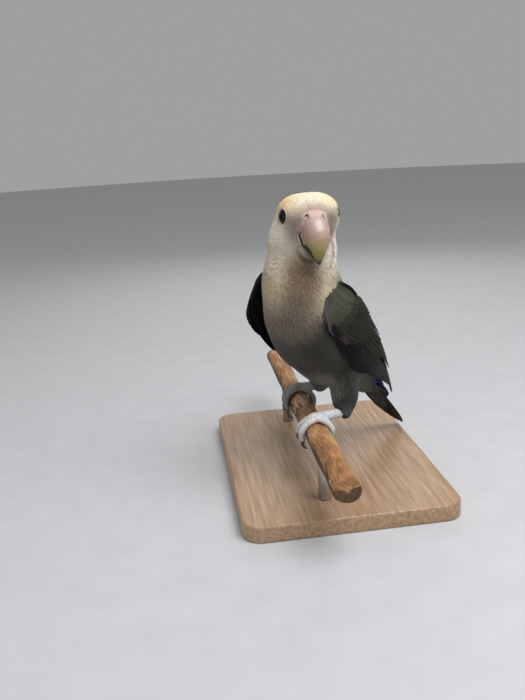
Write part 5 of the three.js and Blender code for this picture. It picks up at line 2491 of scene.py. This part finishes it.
@dataclass
class Stand:
    """The plain display stand: a bevelled board and two rods up to the branch."""

    thickness: float = 8
    corner: float = 9
    bevel: float = 1
    rod_radius: float = 3
    rod_bevel: float = 0.25
    level: float = 0.01

    def build(self, timber: Material, steel: Material) -> None:
        """Makes the board and the rods.

        Args:
            timber: The board's finish.
            steel: The rods' finish.
        """
        low, high = self._box("stand_base")
        bm = bmesh.new()
        bmesh.ops.create_cube(bm, size=1)
        bmesh.ops.scale(bm, vec=Vector(high - low), verts=bm.verts)
        bmesh.ops.translate(bm, vec=Vector((low + high) / 2), verts=bm.verts)
        upright = [edge for edge in bm.edges if self._rise(edge) > self.thickness / 2]
        self._bevel(bm, upright, self.corner, 14)
        rims = [edge for edge in bm.edges if self._rise(edge) < self.level
                and len({abs(face.normal.z) > 0.5 for face in edge.link_faces}) == 2]
        self._bevel(bm, rims, self.bevel, 4)
        board = mesh_object("stand_base", MeshArrays.of(bm), sharp=40)
        place_piece(board, timber, ("stand_base",))
        for name in ("stand_rod_near", "stand_rod_far"):
            low, high = self._box(name)
            bm = bmesh.new()
            bmesh.ops.create_cone(
                bm, cap_ends=True, segments=48, radius1=self.rod_radius, radius2=self.rod_radius,
                depth=high[2] - low[2],
            )
            bmesh.ops.translate(bm, vec=Vector((low + high) / 2), verts=bm.verts)
            ends = [edge for edge in bm.edges if self._rise(edge) < self.level]
            self._bevel(bm, ends, self.rod_bevel, 3)
            rod = mesh_object(name, MeshArrays.of(bm), sharp=40)
            place_piece(rod, steel, (name,))

    @staticmethod
    def _box(node: str) -> list[Array]:
        """The lowest and highest corner of a solid, in millimetres."""
        return [np.array(corner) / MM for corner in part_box(node)]

    @staticmethod
    def _rise(edge: bmesh.types.BMEdge) -> float:
        """How far an edge rises from one end to the other."""
        return abs(edge.verts[0].co.z - edge.verts[1].co.z)

    @staticmethod
    def _bevel(bm: BMesh, edges: list, offset: float, segments: int) -> None:
        """Rounds edges over."""
        bmesh.ops.bevel(
            bm, geom=edges, offset=offset, segments=segments, affect="EDGES", profile=0.5,
            material=-1, clamp_overlap=True,
        )


@dataclass(frozen=True)
class Studio:
    """The photograph's camera, a pale floor and soft light from above."""

    camera_at: tuple[float, float, float] = (-72.6, -360.4, 172.8)
    azimuth: float = 6.9
    down: float = 16.3
    roll: float = 3.3
    focal_pixels: float = 760
    frame_height: float = 700
    sensor: float = 36
    floor_radius: float = 2600
    lights: tuple = (
        ("key", (170, -260, 560), 420, 3.5, "#f8faff"),
        ("fill", (-520, -420, 260), 500, 0.5, "#e8eeff"),
        ("back", (120, 520, 420), 420, 0.8, "#ffffff"),
    )
    lit: tuple[float, float, float] = (-10, -25, 90)
    surroundings: str = "#d1d1d2"
    glow: float = 0.55

    def build(self, board: Material) -> None:
        """Sets up camera, floor, lights and surroundings.

        Args:
            board: The floor's finish.
        """
        self._camera()
        bm = bmesh.new()
        bmesh.ops.create_circle(bm, cap_ends=True, segments=96, radius=self.floor_radius)
        floor = mesh_object("floor", MeshArrays.of(bm))
        floor.data.materials.append(board)
        for light in self.lights:
            self._area(*light)
        world = bpy.data.worlds.new("pale surroundings")
        world.use_nodes = True
        background = world.node_tree.nodes["Background"]
        background.inputs["Color"].default_value = rgba(self.surroundings)
        background.inputs["Strength"].default_value = self.glow
        bpy.context.scene.world = world
        bpy.context.scene.view_settings.view_transform = "Standard"

    def _camera(self) -> None:
        """Places the camera as the photograph's was."""
        azimuth, down, roll = (math.radians(a) for a in (self.azimuth, self.down, self.roll))
        ahead = Vector((math.sin(azimuth), math.cos(azimuth), 0))
        right = Vector((math.cos(azimuth), -math.sin(azimuth), 0))
        up = Vector((0, 0, 1))
        forward = ahead * math.cos(down) - up * math.sin(down)
        above = ahead * math.sin(down) + up * math.cos(down)
        across = right * math.cos(roll) - above * math.sin(roll)
        upwards = right * math.sin(roll) + above * math.cos(roll)
        data = bpy.data.cameras.new("camera")
        data.sensor_fit = "VERTICAL"
        data.sensor_height = self.sensor
        data.lens = self.focal_pixels / self.frame_height * self.sensor
        data.clip_start = 0.01
        camera = bpy.data.objects.new("camera", data)
        turned = Matrix((across, upwards, -forward)).transposed().to_4x4()
        camera.matrix_world = Matrix.Translation(Vector(self.camera_at) * MM) @ turned
        bpy.context.scene.collection.objects.link(camera)
        bpy.context.scene.camera = camera

    def _area(self, name: str, at: tuple[float, float, float], size: float, power: float,
              colour: str) -> None:
        """Adds a soft square light that looks at the bird.

        Args:
            name: Its name.
            at: Its place.
            size: The length of its sides.
            power: Its power in watts.
            colour: Its colour.
        """
        data = bpy.data.lights.new(name, "AREA")
        data.size = size * MM
        data.energy = power
        data.color = linear(colour)
        lamp = bpy.data.objects.new(name, data)
        lamp.location = Vector(at) * MM
        aim = Vector(self.lit) * MM - lamp.location
        lamp.rotation_euler = aim.to_track_quat("-Z", "Y").to_euler()
        bpy.context.scene.collection.objects.link(lamp)


def main() -> None:
    """Builds the model in order."""
    # Body feathers: dry keratin, matt with a soft sheen
    feather = PlumeFinish("feather keratin", roughness=0.62, specular=0.3, sheen=0.25).material()
    # Wing and tail feathers: smoother vanes, on which the barbs show as fine streaks
    flight = PlumeFinish(
        "flight feather keratin", roughness=0.6, specular=0.16, barbs=40, streak=0.3
    ).material()
    # Down over skin: soft and without any gloss
    down = SkinFinish("feathered skin", roughness=0.85, specular=0.2).material()
    # Bill: worn smooth, with a low polish over faint growth marks
    horn = HornFinish(
        "bill keratin", roughness=0.34, coat=0.35, coat_roughness=0.2, grain=0.9, variation=0.14
    ).material()
    # Cere, lids and mouth corners: fine wrinkled skin, a little greasy
    soft = HornFinish(
        "bare skin", roughness=0.55, specular=0.4, grain=0.35, depth=0.12, variation=0.25
    ).material()
    # Eyes: wet and dark, with one small bright gleam
    cornea = HornFinish(
        "wet cornea", roughness=0.1, specular=0.2, coat=0.25, coat_roughness=0.03, ior=1.38,
        depth=0.0, variation=0.05,
    ).material()
    # Feet: dry horny scales of about a millimetre, with dark gaps
    scales = HornFinish(
        "scaly foot skin", roughness=0.6, specular=0.35, grain=0.3, depth=0.24, variation=0.5,
        cells=0.8,
    ).material()
    # Claws: harder and glossier than the scales
    claws = HornFinish(
        "claw keratin", roughness=0.35, coat=0.3, grain=0.5, variation=0.3
    ).material()
    # Branch: bare wood, dull from handling
    peeled = BranchFinish("peeled branch", roughness=0.62, specular=0.35).material()
    # Board of the stand: pale pinkish brown with short dark flecks and a thin film of oil
    beech = GrainFinish(
        "oiled beech", roughness=0.45, coat=0.15, coat_roughness=0.3, grain=1.6,
        stretch=(1, 0.05, 1), noise=(5, 0.55, 0.3), depth=0.08,
        stops=((0.3, "#8d6f52"), (0.5, "#ab8a69"), (0.7, "#bd9d7b")),
    ).material()
    # Rods: stainless steel with rings of scratches that spread the light, drawn coarser than real
    steel = GrainFinish(
        "brushed steel", roughness=0.32, metallic=1, grain=0.25, stretch=(0.06, 0.06, 1),
        depth=0.02, stops=((0.3, "#a9aaab"), (0.7, "#c4c5c6")),
    ).material()
    # Floor: matt paint, barely mottled
    board = GrainFinish(
        "matt board", roughness=0.9, specular=0.2, grain=50 / 3,
        stops=((0.3, "#c8c8c8"), (0.7, "#cdcdcd")),
    ).material()
    bill = Bill().build(horn, soft)
    Plumage().build(Horn(bill), feather, down)
    for side in Side:
        Wing(side).build(flight)
    Tail().build(flight)
    Eyes().build(cornea, soft)
    MouthCorners().build(soft)
    for leg in LEGS:
        Foot(leg, step=-3.0 if leg.side is Side.LEFT else 0.0).build(scales, claws)
    Perch().build(peeled)
    Stand().build(beech, steel)
    Studio().build(board)


if __name__ == "__main__":
    main()
